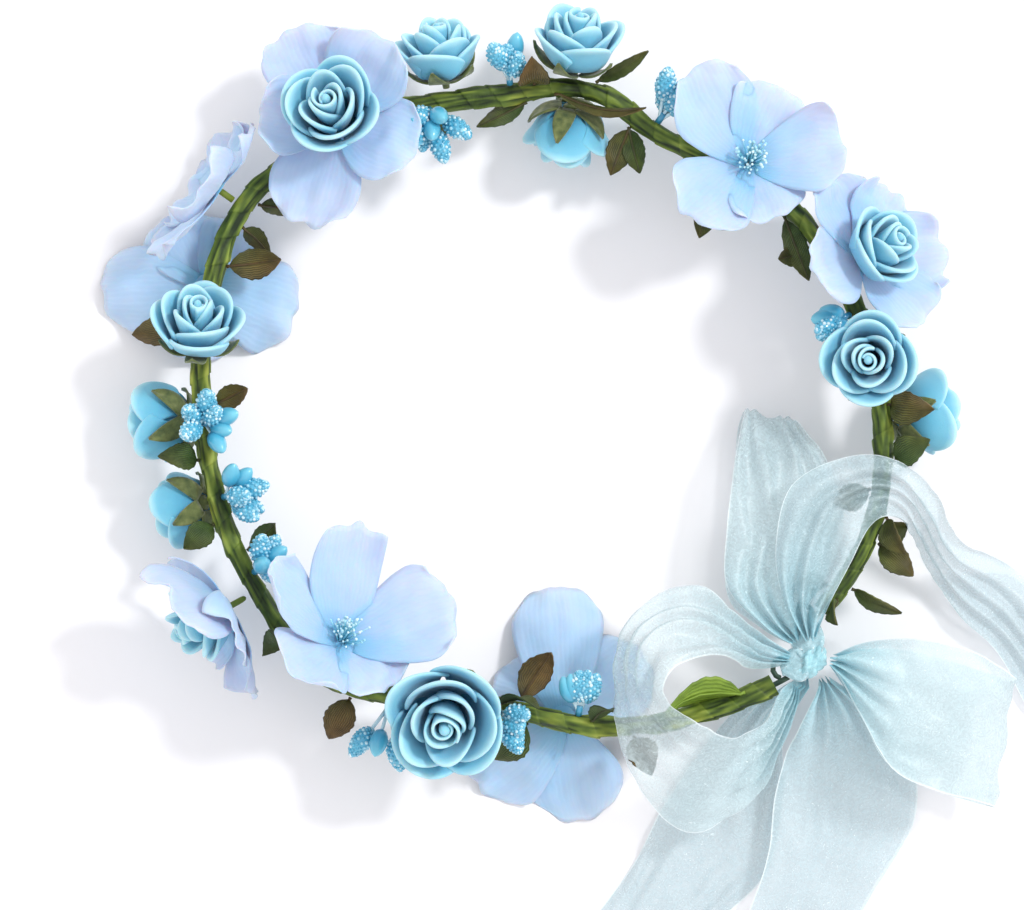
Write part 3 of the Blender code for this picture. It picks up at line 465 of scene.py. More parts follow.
class Skin:
    """Points and faces gathered from many small shapes into one mesh. Every point has a place
    across and along its shape, and a tone that its material shades by."""

    def __init__(self):
        self.points, self.faces, self.places, self.tones, self.looks = [], [], [], [], []
        self.count = 0

    def add(self, points, faces, places=None, tones=0.0, look=0):
        """One more shape, whose faces count its own points from 0."""
        number = len(points)
        self.points.append(points)
        self.places.append(np.zeros((number, 2)) if places is None else places)
        self.tones.append(np.broadcast_to(tones, number))
        self.faces += [tuple(self.count + i for i in face) for face in faces]
        self.looks += [look] * len(faces)
        self.count += number

    def mesh(self, name):
        """The mesh. Points that would sink into the table lie just over it, in their order."""
        points = np.concatenate(self.points)
        above = np.minimum((points[:, 2] - FLOOR_GAP) / FLOOR_EASE, 50)
        points[:, 2] = np.maximum(points[:, 2], FLOOR_GAP + FLOOR_EASE * np.log1p(np.exp(above)))
        mesh = bpy.data.meshes.new(name)
        mesh.from_pydata((points * MM).tolist(), [], self.faces)
        mesh.polygons.foreach_set("material_index", self.looks)
        places, tones = np.concatenate(self.places), np.concatenate(self.tones)
        corners = np.empty(len(mesh.loops), np.int32)
        mesh.loops.foreach_get("vertex_index", corners)
        mesh.uv_layers.new(name="UVMap").data.foreach_set("uv", places[corners].ravel())
        mesh.attributes.new("tone", "FLOAT", "POINT").data.foreach_set("value", tones)
        mesh.shade_smooth()
        return mesh


def shares(rows, columns, first=0.0):
    """How far along and across a grid's points lie: from first to 1, and from -1 to 1."""
    return np.linspace(first, 1, rows)[:, None], np.linspace(-1, 1, columns)[None, :]


def grid_places(rows, columns):
    """Each point's place on a grid, across and along, from 0 to 1."""
    across, along = np.meshgrid(np.linspace(0, 1, columns), np.linspace(0, 1, rows))
    return np.stack([across, along], 2).reshape(-1, 2)


def about_axis(out, turn, rise, aside=0.0):
    """A grid of points from how far out from the Z axis they are, which way, how high and how
    far to the side."""
    x = out * np.cos(turn) - aside * np.sin(turn)
    y = out * np.sin(turn) + aside * np.cos(turn)
    return np.stack(np.broadcast_arrays(x, y, rise), 2)


def grid_faces(rows, columns, closed=False):
    """The four-sided faces between a grid's points, also round the back where it is closed."""
    faces = []
    for row in range(rows - 1):
        for column in range(columns - (not closed)):
            beside = (column + 1) % columns
            here, above = row * columns, (row + 1) * columns
            faces.append((here + column, here + beside, above + beside, above + column))
    return faces


def placed(matrix, points):
    """Points of any grid, moved by a 4 x 4 matrix."""
    turn = np.array(matrix.to_3x3())
    return points @ turn.T + np.array(matrix.translation)


def up_axis(matrix, *heights):
    """Points at these heights up the matrix's Z axis."""
    return placed(matrix, np.array([(0, 0, height) for height in heights]))


def add_shell(skin, grid, thickness, tones, look=0):
    """A closed skin of this thickness round an open grid of points."""
    rows, columns = grid.shape[:2]
    facing = np.cross(np.gradient(grid, axis=1), np.gradient(grid, axis=0))
    facing /= np.linalg.norm(facing, axis=2, keepdims=True) + 1e-9
    front, back = grid + facing * thickness / 2, grid - facing * thickness / 2
    number = rows * columns
    faces = grid_faces(rows, columns)
    faces += [tuple(number + i for i in face[::-1]) for face in faces]
    edge = list(range(columns)) + [row * columns + columns - 1 for row in range(1, rows)]
    edge += [(rows - 1) * columns + column for column in range(columns - 2, -1, -1)]
    edge += [row * columns for row in range(rows - 2, -1, -1)]
    faces += [(b, a, a + number, b + number) for a, b in zip(edge, edge[1:])]
    tones = np.broadcast_to(tones, (rows, columns)).reshape(-1)
    points = np.concatenate([front.reshape(-1, 3), back.reshape(-1, 3)])
    skin.add(points, faces, np.tile(grid_places(rows, columns), (2, 1)), np.tile(tones, 2), look)


def add_tube(skin, path, radii, sides, tones=0.0, look=0):
    """A closed round skin along a path."""
    path = np.asarray(path, float)
    radii = np.broadcast_to(radii, len(path))
    heading = np.gradient(path, axis=0)
    heading /= np.linalg.norm(heading, axis=1, keepdims=True)
    beside = np.cross(heading, (0.31, 0.17, 0.93) if abs(heading[0][2]) < 0.9 else (1.0, 0.2, 0.0))
    beside /= np.linalg.norm(beside, axis=1, keepdims=True)
    over = np.cross(heading, beside)
    turn = np.arange(sides) * 2 * math.pi / sides
    ring = np.cos(turn)[None, :, None] * beside[:, None] + np.sin(turn)[None, :, None] * over[:, None]
    points = (path[:, None] + ring * radii[:, None, None]).reshape(-1, 3)
    faces = [face[::-1] for face in grid_faces(len(path), sides, closed=True)]
    faces += [tuple(range(sides)), tuple(range(len(points) - 1, len(points) - sides - 1, -1))]
    skin.add(points, faces, tones=np.repeat(np.broadcast_to(tones, len(path)), sides), look=look)


def bead_template(detail):
    """A ball's points and faces, finer as detail grows."""
    bm = bmesh.new()
    bmesh.ops.create_icosphere(bm, subdivisions=detail, radius=1.0)
    points = np.array([vert.co[:] for vert in bm.verts])
    faces = [tuple(vert.index for vert in face.verts) for face in bm.faces]
    bm.free()
    return points, faces


BEAD = bead_template(2)
TIP = bead_template(1)


def make_piece(name, skin, body, looks, replaces=(), subdivide=0):
    """The piece that a skin makes, riding on a CAD body in place of the plain CAD nodes."""
    mesh = skin.mesh(name)
    for look in looks:
        mesh.materials.append(look)
    piece = bpy.data.objects.new(name, mesh)
    bpy.context.scene.collection.objects.link(piece)
    if subdivide:
        rounding = piece.modifiers.new("rounding", "SUBSURF")
        rounding.levels = subdivide
        rounding.render_levels = subdivide
    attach(piece, body)
    if replaces:
        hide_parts(*replaces)
    return piece


def add_stem(skin, path):
    """A taped stem, in the skin's second look."""
    add_tube(skin, path, STEM_RADIUS, 8, 0.6, look=1)


# ---- the ring's line

def smooth_value(table, at):
    """A Catmull-Rom curve through (position, value) pairs, read at one position."""
    last = len(table) - 1
    i = next((n for n in range(last - 1) if at < table[n + 1][0]), last - 1)
    near = (table[min(max(n, 0), last)] for n in range(i - 1, i + 3))
    (x0, y0), (x1, y1), (x2, y2), (x3, y3) = near
    span = x2 - x1
    t = (at - x1) / span
    slope_in = (y2 - y0) / (x2 - x0) * span
    slope_out = (y3 - y1) / (x3 - x1) * span
    return (
        (2 * t**3 - 3 * t**2 + 1) * y1 + (t**3 - 2 * t**2 + t) * slope_in
        + (3 * t**2 - 2 * t**3) * y2 + (t**3 - t**2) * slope_out
    )


def band_point(angle):
    """The middle of the wrapped ring, at an angle round the head."""
    radius = RING_RADIUS + smooth_value(BENDS, angle)
    turn = math.radians(angle)
    return Vector((radius * math.cos(turn), radius * math.sin(turn), BAND_HEIGHT))


def band_axes(angle):
    """The directions along the band, outward from it and up."""
    along = (band_point(angle + 0.5) - band_point(angle - 0.5)).normalized()
    up = Vector((0, 0, 1))
    return along, along.cross(up), up


def phase(chance):
    """Where a ripple starts, at random."""
    return chance.uniform(0, 6.3)


def stem_frame(angle, around, lean=0):
    """Where a stem leaves the wrap: X along the band, Z up the stem."""
    along, outward, up = band_axes(angle)
    turn, tip = math.radians(around), math.radians(lean)
    away = outward * math.cos(turn) + up * math.sin(turn)
    z_axis = away * math.cos(tip) + along * math.sin(tip)
    x_axis = along * math.cos(tip) - away * math.sin(tip)
    y_axis = z_axis.cross(x_axis)
    matrix = Matrix((x_axis, y_axis, z_axis)).transposed().to_4x4()
    matrix.translation = band_point(angle) + away * SEAT
    return matrix


def knot_centre():
    """The knot's middle, just outside the gap between the ring's ends."""
    ends = [band_point(angle) for angle in RING_ENDS]
    middle = (ends[0] + ends[1]) / 2
    return middle + Vector((middle.x, middle.y, 0)).normalized() * KNOT_OFFSET


def eye_centre(angle, way):
    """The middle of the eye bent into one end of the wire."""
    along, outward, _ = band_axes(angle)
    return band_point(angle) + along * way * EYE_NECK - outward * EYE_RADIUS


# ---- ring

TAPE_PITCH = 7.5  # from one turn of the tape to the next
BAND_SIDES = 28
BAND_STEP = 0.16  # degrees round the head from one ring of points to the next
TAPED_RADIUS = 2.15  # of the tape where it has no stem, lap or crease under it


def add_wrap(look):
    """Crepe tape wound round the wire and the stems' tails: overlapping turns, creases, lumps."""
    first, last = RING_ENDS
    angles = np.arange(first, last + BAND_STEP / 2, BAND_STEP)
    angles[-1] = last
    turns = np.arange(BAND_SIDES) * 2 * math.pi / BAND_SIDES
    points, tones, travelled, before = [], [], 0.0, None
    for angle in angles:
        centre = band_point(angle)
        travelled += (centre - before).length if before else 0.0
        before = centre
        _, outward, up = band_axes(angle)
        tail = 1.1 * math.sin(angle * 0.11) + 2.0 * math.sin(angle * 0.047)
        for turn in turns:
            side = outward * math.cos(turn) + up * math.sin(turn)
            wind = (travelled / TAPE_PITCH + turn / (2 * math.pi)) % 1.0
            lap = 0.34 * wind**1.5
            stem = 0.75 * max(0.0, math.cos(turn - tail)) ** 5
            stem += 0.55 * max(0.0, math.cos(turn - tail * 1.7 - 2.4)) ** 6
            spot = centre + side * WRAP_RADIUS
            crease = noise.noise(Vector((travelled * 0.11, math.cos(turn) * 3.1, math.sin(turn) * 3.1)))
            crease += 0.5 * noise.noise(Vector((travelled * 0.3, math.cos(turn) * 6, math.sin(turn) * 6)))
            lump = noise.noise(spot * 0.13)
            radius = TAPED_RADIUS + lap + stem + 0.45 * crease + 0.45 * lump
            points.append(centre + side * radius)
            # The tone: low for painted shade in the creases and at the foot of each turn's edge, high for
            # painted highlights on the ridges and over the stems
            tones.append(0.46 + 0.75 * crease + 0.16 * (wind - 0.5) + 0.35 * (stem - 0.4))
    grid = np.array([point[:] for point in points]).reshape(len(angles), BAND_SIDES, 3)
    tones = np.clip(np.array(tones).reshape(len(angles), BAND_SIDES), 0, 1)
    mouths = []  # the tape's turned-in ends
    for row, inward in ((0, 1), (-1, -1)):
        centre = grid[row].mean(0)
        step = grid[row + inward].mean(0) - centre
        step /= np.linalg.norm(step)
        mouths.append([centre + (grid[row] - centre) * s + step * d for s, d in ((0.62, 0.0), (0.4, 2.0))])
    grid = np.concatenate([mouths[0][::-1], grid, mouths[1]])
    # The turned-in ends take the darkest tone: painted shade in their hollows
    edge_tones = np.zeros((2, BAND_SIDES))
    tones = np.concatenate([edge_tones, tones, edge_tones])
    faces = [face[::-1] for face in grid_faces(len(grid), BAND_SIDES, closed=True)]
    last_row = (len(grid) - 1) * BAND_SIDES
    faces += [tuple(range(BAND_SIDES)), tuple(last_row + i for i in reversed(range(BAND_SIDES)))]
    skin = Skin()
    skin.add(grid.reshape(-1, 3), faces, tones=tones.reshape(-1))
    make_piece("stem_tape", skin, "crown_base", [look], ["band_wrap"])


# ---- roses

def rose_petal(radius, height, reach, curl, turn, wave, chance):
    """One foam petal round the head's axis, from its foot at 0 to its rolled rim."""
    up, across = shares(10, 13)
    spread = math.radians(reach) / 2
    angle = math.radians(turn) + spread * across * (0.5 + 0.5 * up)
    out = radius * (0.14 + 0.86 * (1 - (1 - up) ** 2.3)) * (1 + 0.05 * across)
    out = out * (0.82 + 0.20 * (1 - np.abs(across) ** 1.6) * up**2 + 0.10 * (1 - up))
    rim = height * (1 - 0.46 * np.abs(across) ** 1.8)
    rise = rim * up**1.55
    rolled = np.clip((up - 0.68) / 0.32, 0, 1) ** 2 * curl
    out = out + radius * rolled * (1.15 - across**2)
    rise = rise - height * rolled * 0.55
    ripple = wave * np.sin(4.2 * across + phase(chance)) * up**3
    out = out + ripple * 0.5
    rise = rise + ripple * 0.35
    # The tone is low at the petal's foot, for painted shade deep in the head, and high at the rim
    return about_axis(out, angle, rise), up**1.3 * (1 - 0.15 * np.abs(across))


def rose_core(radius, height, turn):
    """The middle of the head: a strip of foam rolled up tight."""
    along = np.linspace(0, 1, 34)[None, :]
    up = np.linspace(0, 1, 6)[:, None]
    angle = math.radians(turn) + along * 2 * math.pi * 1.3
    out = radius * (0.25 - 0.15 * along) * (0.85 + 0.20 * up) * (1 + 0.12 * np.sin(1.5 * angle))
    rise = height * (0.25 + (0.73 - 0.07 * along) * up)
    # The tone is lower at the core's foot: painted shade deep in the head
    return about_axis(out, angle, rise), 0.3 + 0.7 * up**2 + 0 * along


def add_roses(foam, cloth, paper):
    """The rose heads, each on its own stem and calyx or through a blossom's eyelet."""
    for number, angle, around, reach, lean, width, first_turn, wave in ROSES:
        chance = random.Random(100 + number)
        stem = stem_frame(angle, around, lean)
        radius, height = width / 2, width * ROSE_HEIGHT
        foot = reach - SEAT - 0.52 * height
        head = stem @ Matrix.Translation((0, 0, foot))
        skin = Skin()
        turn = first_turn
        for count, out, tall, around_petal, curl in ROSE_LAYERS:
            for i in range(count):
                petal_turn = turn + 360 * i / count + chance.uniform(-6, 6)
                grid, tones = rose_petal(
                    radius * out * chance.uniform(0.97, 1.03) - FOAM / 2,
                    height * tall * chance.uniform(0.96, 1.03),
                    around_petal, curl, petal_turn, wave, chance)
                add_shell(skin, placed(head, grid), FOAM, tones)
            turn += 180 / count + chance.uniform(-8, 8)
        grid, tones = rose_core(radius, height, turn)
        add_shell(skin, placed(head, grid), FOAM * 0.8, tones)
        bud = up_axis(head, *(height * share for share in (0.2, 0.6, 0.85, 0.94, 0.97)))
        add_tube(skin, bud, radius * np.array((0.1, 0.12, 0.12, 0.085, 0.03)), 8, 0.85)
        if number in ROSES_ON_BLOSSOMS:
            body = ROSES_ON_BLOSSOMS[number]
            add_stem(skin, up_axis(stem, *np.linspace(0, foot + 1.5, 4)))
        else:
            body = f"rose_{number:02d}_head"
            add_calyx(number, body, stem, radius, height, foot, cloth)
        make_piece(f"foam_rose_{number:02d}", skin, body, [foam, paper],
                   [f"rose_{number:02d}"], subdivide=1)


def add_calyx(number, body, stem, radius, height, foot, cloth):
    """Pointed sepals that hug the underside of a rose, on the stem's flared end."""
    chance = random.Random(300 + number)
    skin = Skin()
    along, across = shares(9, 7)
    for i in range(SEPALS):
        turn = 2 * math.pi * i / SEPALS + chance.uniform(-0.12, 0.12)
        climb = along * chance.uniform(0.50, 0.62)
        out = radius * (0.14 + 0.86 * (1 - (1 - climb) ** 2.3)) + 0.9
        rise = foot + 0.74 * height * climb**1.55 - 0.9 + 0.9 * along**3
        wide = radius * 0.30 * (1 - along**1.8) * (0.7 + 0.6 * along) + 0.15
        lift = 0.5 * np.abs(across) * along
        grid = about_axis(out + lift, turn, rise, wide * across)
        add_shell(skin, placed(stem, grid), SEPAL_CLOTH, 0.5)
    profile = ((0, 1.0), (foot * 0.5, 1.1), (foot - 0.9, 1.9), (foot - 0.2, 2.6), (foot + 0.3, 1.5))
    path = up_axis(stem, *(height for height, _ in profile))
    add_tube(skin, path, [share * STEM_RADIUS for _, share in profile], 12, 0.5)
    make_piece(f"sepals_{number:02d}", skin, body, [cloth], [f"calyx_{number:02d}"])


# ---- blossoms

def petal_grid(turn, length, width, lift, chance):
    """One pressed petal in the blossom's plane, cupped across, ruffled towards its edge."""
    along, across = shares(20, 19, first=0.05)
    spread = 0.2 + 2.106 * along - 1.0 * along**2 - 0.42 * along**3
    edge = along**7
    scallop = 0.014 * np.sin(9 * across + phase(chance)) * edge
    scallop = scallop - chance.uniform(0.0, 0.035) * np.exp(-((across / 0.16) ** 2)) * edge
    out = length * along * (1 - 0.19 * np.abs(across) ** 2.5 * along**2 + scallop)
    side = width / 2 * spread * across * (1 + 0.03 * np.sin(8 * along + phase(chance)))
    climb = math.sin(math.radians(lift))
    rise = length * along * climb * np.sqrt(along)
    rise = rise + width * 0.11 * across**2 * along * chance.uniform(0.5, 1.1)
    ruffle = chance.uniform(1.0, 1.9) * np.sin(chance.uniform(4, 7) * across + phase(chance))
    rise = rise + ruffle * along**4 * (0.4 + 0.6 * np.abs(across))
    rise = rise + 0.35 * np.sin(11 * across + phase(chance)) * along**2 + 0.7 * across * along
    rise = rise + np.clip((along - 0.7) / 0.3, 0, 1) ** 2 * chance.uniform(-2.2, 1.6)
    seed = chance.uniform(0, 90)
    crease = [[noise.noise(Vector((x * 0.13 + seed, y * 0.13, 0))) * 2.4
               + noise.noise(Vector((x * 0.34, y * 0.34, seed))) * 0.8
               for x, y in zip(*pair)] for pair in zip(out, side)]
    rise = rise + np.array(crease) * along
    # The tone is low by the eyelet: the cloth's aqua dye there, deepened by painted shade
    tones = along * (0.92 + 0.08 * np.abs(across) ** 3)
    return about_axis(out, math.radians(turn), rise, side), tones


def add_stamens(number, body, stem, plane, thread, paper):
    """A tuft of fine threads with a grain of pollen on each."""
    chance = random.Random(500 + number)
    skin = Skin()
    add_stem(skin, up_axis(stem, 0, plane + 0.8))
    for _ in range(STAMENS):
        turn, tilt = chance.uniform(0, 2 * math.pi), chance.uniform(0.05, 0.75)
        length = chance.uniform(5.0, 7.8) * (1.1 - 0.35 * tilt)
        heading = Vector((math.cos(turn) * math.sin(tilt), math.sin(turn) * math.sin(tilt), math.cos(tilt)))
        bend = Vector((chance.uniform(-1, 1), chance.uniform(-1, 1), 0.3)) * 0.8
        foot = Vector((heading.x * 1.3, heading.y * 1.3, plane + 0.4))
        path = [foot + heading * length * t + bend * t * t for t in (0, 0.35, 0.7, 1.0)]
        path = placed(stem, np.array([point[:] for point in path]))
        add_tube(skin, path, (0.2, 0.17, 0.15, 0.14), 5, (0.0, 0.3, 0.6, 0.8))
        points, faces = TIP
        skin.add(path[-1] + points * chance.uniform(0.32, 0.48), faces, tones=chance.uniform(0.7, 1.0))
    make_piece(f"stamen_tuft_{number:02d}", skin, body, [thread, paper],
               [f"stamens_{number:02d}"])


def add_blossoms(fabric, thread, paper):
    """The blossoms: petals in a slight spiral, with an eyelet disc over their feet."""
    for number, angle, around, reach, held_by, petals in BLOSSOMS:
        chance = random.Random(200 + number)
        body = f"flower_{number:02d}"
        stem = stem_frame(angle, around)
        plane = reach - SEAT
        skin = Skin()
        for i, (turn, length, width, lift) in enumerate(petals):
            grid, tones = petal_grid(turn, length, width * PETAL_FULLNESS, lift, chance)
            grid[:, :, 2] += plane + 0.3 + 0.22 * (i % 3)
            add_shell(skin, placed(stem, grid), CLOTH, tones)
        disc = up_axis(stem, plane - 0.2, plane + 0.1, plane + 0.6, plane + 0.9)
        add_tube(skin, disc, (1.3, 3.2, 3.0, 1.2), 20, 0.05)
        if held_by == "stem":
            add_stem(skin, up_axis(stem, 0, plane * 0.5, plane))
        make_piece(f"fabric_blossom_{number:02d}", skin, body, [fabric, paper],
                   [f"blossom_{number:02d}"])
        if held_by == "stamens":
            add_stamens(number, body, stem, plane, thread, paper)


# ---- berries and leaves

def sprig_turn(lean, across):
    """A sprig's lean along the band, then across it."""
    return Matrix.Rotation(math.radians(lean), 4, "Y") @ Matrix.Rotation(math.radians(-across), 4, "X")


def berry_swell(along):
    """A berry head's radius at a share of its length, for a greatest radius of 1."""
    return np.sin(np.pi * along**0.85) ** 0.62 + 0.02


def add_sprig(skin, matrix, kind, length, chance):
    """A stalk and its head, up the matrix's Z axis: looks are bud, bead and stalk."""
    size, long = HEADS[kind]
    start = length - long
    stalk = [(0, 0, 0.3), (0.1, 0.1, start * 0.6), (0, 0, start + long * 0.2)]
    add_tube(skin, placed(matrix, np.array(stalk)), 0.5, 6, 0.9, look=1)
    inner = size - BEAD_RADIUS if kind == "sugar" else size
    along = np.linspace(0, 1, 10)
    path = up_axis(matrix, *(start + long * (0.02 + 0.95 * along)))
    add_tube(skin, path, inner * berry_swell(along), 16, along)
    if kind == "bud":
        return
    points, faces = BEAD
    for i in range(BEADS):
        turn = i * GOLDEN_TURN
        along = 0.5 - 0.5 * math.cos(math.pi * (i + 0.5) / BEADS)
        out = inner * berry_swell(along)
        spot = (out * math.cos(turn), out * math.sin(turn), start + long * (0.02 + 0.95 * along))
        radius = BEAD_RADIUS * chance.uniform(0.8, 1.15)
        skin.add(placed(matrix, points * radius + spot), faces, tones=chance.random(), look=1)


def add_berries(pearl, bead):
    """The berry picks: the named sprigs, then the spare ones in the widest gaps."""
    for number, angle, around, sprigs in BERRIES:
        chance = random.Random(400 + number)
        stem = stem_frame(angle, around)
        skin = Skin()
        add_tube(skin, up_axis(stem, -0.6, 2.5), STEM_RADIUS, 8, 0.1)
        taken = []
        bounds = [(min(turns) - 3, max(turns) + 3) for turns in zip(*((s[1], s[2]) for s in sprigs))]
        for kind, lean, across, length in sprigs:
            add_sprig(skin, stem @ sprig_turn(lean, across), kind, length, chance)
            taken.append((lean, across))
        for kind in () if number == CROWDED_PICK else SPARE_SPRIGS:
            spots = [(chance.uniform(*bounds[0]), chance.uniform(*bounds[1])) for _ in range(SPOTS_TRIED)]
            spot = max(spots, key=lambda s: min(math.dist(s, t) for t in taken))
            taken.append(spot)
            length = SPARE_LENGTH - 0.04 * math.hypot(*spot)
            add_sprig(skin, stem @ sprig_turn(*spot), kind, length, chance)
        make_piece(f"berry_pick_{number:02d}", skin, "crown_base", [pearl, bead],
                   [f"berries_{number:02d}"])


def add_leaf(skin, stem, lean, roll, length, width, brown, chance):
    """A pressed cloth leaf on its stalk, folded along its midrib, with a curled tip."""
    matrix = stem @ Matrix.Rotation(math.radians(lean), 4, "Y") @ Matrix.Rotation(math.radians(roll), 4, "Z")
    along, across = shares(18, 11)
    half = width / 2 * (np.sin(np.pi * along**0.82) ** 0.8 + 0.05 * (1 - along))
    half = half * (1 + 0.05 * np.sin(38 * along + phase(chance)))
    bow = length * 0.12 * np.sin(np.pi * along) + chance.uniform(-0.12, 0.1) * length * along**3
    fold = half * chance.uniform(0.18, 0.4) * np.abs(across)
    wave = 0.35 * np.sin(6 * along + 2.5 * across + phase(chance)) * np.abs(across)
    z = length * (0.03 + 0.97 * along)
    grid = np.stack(np.broadcast_arrays(half * across, bow + fold + wave, z), 2)
    tones = np.clip(brown + 0.35 * (along - 0.5) + 0.12 * across, 0, 1)
    add_shell(skin, placed(matrix, grid), CLOTH, tones)
    ribs = [(0, bow[i, 0] - 0.15, z[i, 0]) for i in range(0, 17, 4)]
    stalk = placed(matrix, np.array([(0, 0.1, -0.5), (0, 0.1, 0.1)] + ribs))
    add_tube(skin, stalk, np.linspace(0.5, 0.16, len(stalk)), 6, min(1.0, brown + 0.3))


def leaf_skin(seed, angle, around, leaves):
    """The leaves of one sprig."""
    chance = random.Random(seed)
    skin = Skin()
    for leaf in leaves:
        add_leaf(skin, stem_frame(angle, around), *leaf, chance)
    return skin


def add_leaves(olive, fresh):
    """The leaf sprigs of the CAD model, then the trim."""
    for number, *sprig in LEAVES:
        look, slot = (fresh, "fresh_leaf") if number == FRESH_LEAF else (olive, "olive_leaf")
        make_piece(f"cloth_leaf_{number:02d}", leaf_skin(600 + number, *sprig), "crown_base",
                   [look], [f"leaf_{number:02d}"])
    for number, (angle, around, *leaf) in enumerate(TRIM_LEAVES, start=1):
        make_piece(f"trim_leaf_{number:02d}", leaf_skin(700 + number, angle, around, [leaf]),
                   "crown_base", [olive])


# ---- bow

RIBBON_STEPS = 7  # rows of points from one ribbon station to the next
RIBBON_COLUMNS = 41
PLEATS = 3.6  # waves across the gathered ribbon
CLOTH_ACROSS = 32.0  # the least width of cloth that the pleats take up
GATHER_REACH = 11.0  # how far from the knot the cloth looks denser for its pleats
KNOT_SIDES = 60
KNOT_ROWS = 25
KNOT_TURN = 55  # of the knot's long axis from X
STRAND_CLOTH = 0.25
# Each ribbon's name, body, CAD node, the stations of its edges, whether it is a loop, the seed of
# its creases and what it lies on
RIBBONS = (
    ("organza_loop_upper", "upper_ribbons", "bow_loop_upper", BOW_LOOP_UPPER, True, 1.3, ["bow_knot"]),
    ("organza_loop_left", "left_loop", "bow_loop_left", BOW_LOOP_LEFT, True, 5.1, ["bow_knot"]),
    ("organza_loop_right", "right_loop", "bow_loop_right", BOW_LOOP_RIGHT, True, 9.7, ["bow_knot"]),
    ("organza_tail_right", "upper_ribbons", "ribbon_tail_right", RIBBON_TAIL_RIGHT, False, 13.4,
     ["stem_tape"]),
    ("organza_tail_left", "left_tail", "ribbon_tail_left", RIBBON_TAIL_LEFT, False, 17.2, ()),
    ("organza_tail_front", "front_tail", "ribbon_tail_front", RIBBON_TAIL_FRONT, False, 21.9, ()),
)


def smooth_edges(stations):
    """Rows between the ribbon's stations, on Catmull-Rom curves through both edges."""
    stations = np.array(stations, float).reshape(-1, 2, 3)
    rows = []
    last = len(stations) - 1
    for i in range(last):
        a, b = stations[max(i - 1, 0)], stations[i]
        c, d = stations[i + 1], stations[min(i + 2, last)]
        for step in range(RIBBON_STEPS):
            t = step / RIBBON_STEPS
            rows.append(0.5 * (2 * b + (c - a) * t + (2 * a - 5 * b + 4 * c - d) * t**2
                               + (3 * b - a - 3 * c + d) * t**3))
    rows.append(stations[-1])
    return np.array(rows)


def ribbon_grid(stations, looped, seed):
    """The ribbon's surface: pleated where the knot gathers it, softly creased elsewhere. Also how
    far each row lies from the knot, and the ribbon's length."""
    edges = smooth_edges(stations)
    middles = edges.mean(1)
    steps = np.linalg.norm(np.diff(middles, axis=0), axis=1)
    travelled = np.concatenate([[0], np.cumsum(steps)])
    from_knot = np.minimum(travelled, travelled[-1] - travelled) if looped else travelled
    span = edges[:, 1] - edges[:, 0]
    width = np.linalg.norm(span, axis=1)
    facing = np.cross(np.gradient(middles, axis=0), span)
    facing /= np.linalg.norm(facing, axis=1, keepdims=True)
    share = np.linspace(0, 1, RIBBON_COLUMNS)
    flat = edges[:, 0, None] + span[:, None] * share[None, :, None]
    steepness = np.linspace(0, 20, 200)
    taken_up = np.sqrt(1 + (steepness[:, None] * np.cos(np.linspace(0, math.pi, 60))) ** 2).mean(1)
    steep = np.interp(CLOTH_ACROSS / width, taken_up, steepness)
    deep = np.minimum(steep * width / (2 * math.pi * PLEATS), 1.3 + 1.0 * np.exp(-from_knot / 22))
    if looped:
        deep = deep * (1 - 0.75 * np.clip(from_knot / travelled[-1] * 2 * 3 - 2, 0, 1) ** 2)
    heights = np.empty(flat.shape[:2])
    for i in range(len(flat)):
        for j in range(RIBBON_COLUMNS):
            u = share[j]
            sway = 1.5 * noise.noise(Vector((travelled[i] * 0.03, seed, u * 2.5)))
            pleat = math.sin(2 * math.pi * PLEATS * u + 3 * sway)
            soft = noise.noise(Vector(flat[i, j] * 0.075) + Vector((seed, 0, 0)))
            fine = abs(noise.noise(Vector(flat[i, j] * 0.17) + Vector((0, seed, 0))))
            roam = min(1.0, from_knot[i] / 14)
            heights[i, j] = deep[i] * pleat + roam * (1.8 * soft + 1.5 * fine)
    return flat + facing[:, None] * heights[:, :, None], from_knot, travelled[-1]


def add_ribbons(loop_look, tail_look):
    """The loops and the tails, each a single sheet of organza."""
    centre = knot_centre()
    for name, body, node, stations, looped, seed, rests_on in RIBBONS:
        grid, from_knot, length = ribbon_grid(stations, looped, seed)
        grid = grid + np.array((centre.x, centre.y, 0))
        size = grid.shape[:2]
        tones = np.repeat(np.exp(-from_knot / GATHER_REACH), RIBBON_COLUMNS)
        skin = Skin()
        skin.add(grid.reshape(-1, 3), grid_faces(*size), grid_places(*size), tones)
        piece = make_piece(name, skin, body, [loop_look if looped else tail_look], [node])


def add_knot(look, clear):
    """The gathered middle of the bow, cinched across, and a crumpled strand through each eye."""
    centre = knot_centre()
    skin = Skin()
    along = np.linspace(-1, 1, KNOT_ROWS)[:, None]
    turn = np.linspace(0, 2 * math.pi, KNOT_SIDES, endpoint=False)[None, :]
    waist = np.sqrt(np.maximum(1 - (along * 0.96) ** 2, 0.02))
    pleat = 1 + 0.16 * np.sin(7 * turn + 5 * along) + 0.09 * np.sin(13 * turn - 9 * along)
    radius = waist * pleat * (1 + 0.12 * np.sin(6 * along + 2 * turn))
    grid = np.stack([4.8 * along + 0 * turn, 3.2 * radius * np.cos(turn), 2.9 * radius * np.sin(turn)], 2)
    tilt = Matrix.Translation(centre) @ Matrix.Rotation(math.radians(KNOT_TURN), 4, "Z")
    faces = [face[::-1] for face in grid_faces(KNOT_ROWS, KNOT_SIDES, closed=True)]
    number = KNOT_ROWS * KNOT_SIDES
    faces += [tuple(range(KNOT_SIDES)), tuple(range(number - 1, number - KNOT_SIDES - 1, -1))]
    places = np.stack(np.broadcast_arrays(turn / (2 * math.pi) * 0.8 + 0.1, along), 2).reshape(-1, 2)
    skin.add(placed(tilt, grid.reshape(-1, 3)), faces, places)
    for end, way in zip(RING_ENDS, (-1, 1)):
        add_strand(skin, centre, eye_centre(end, way))
    make_piece("bow_knot", skin, "crown_base", [look, clear], ["ribbon_knot"])


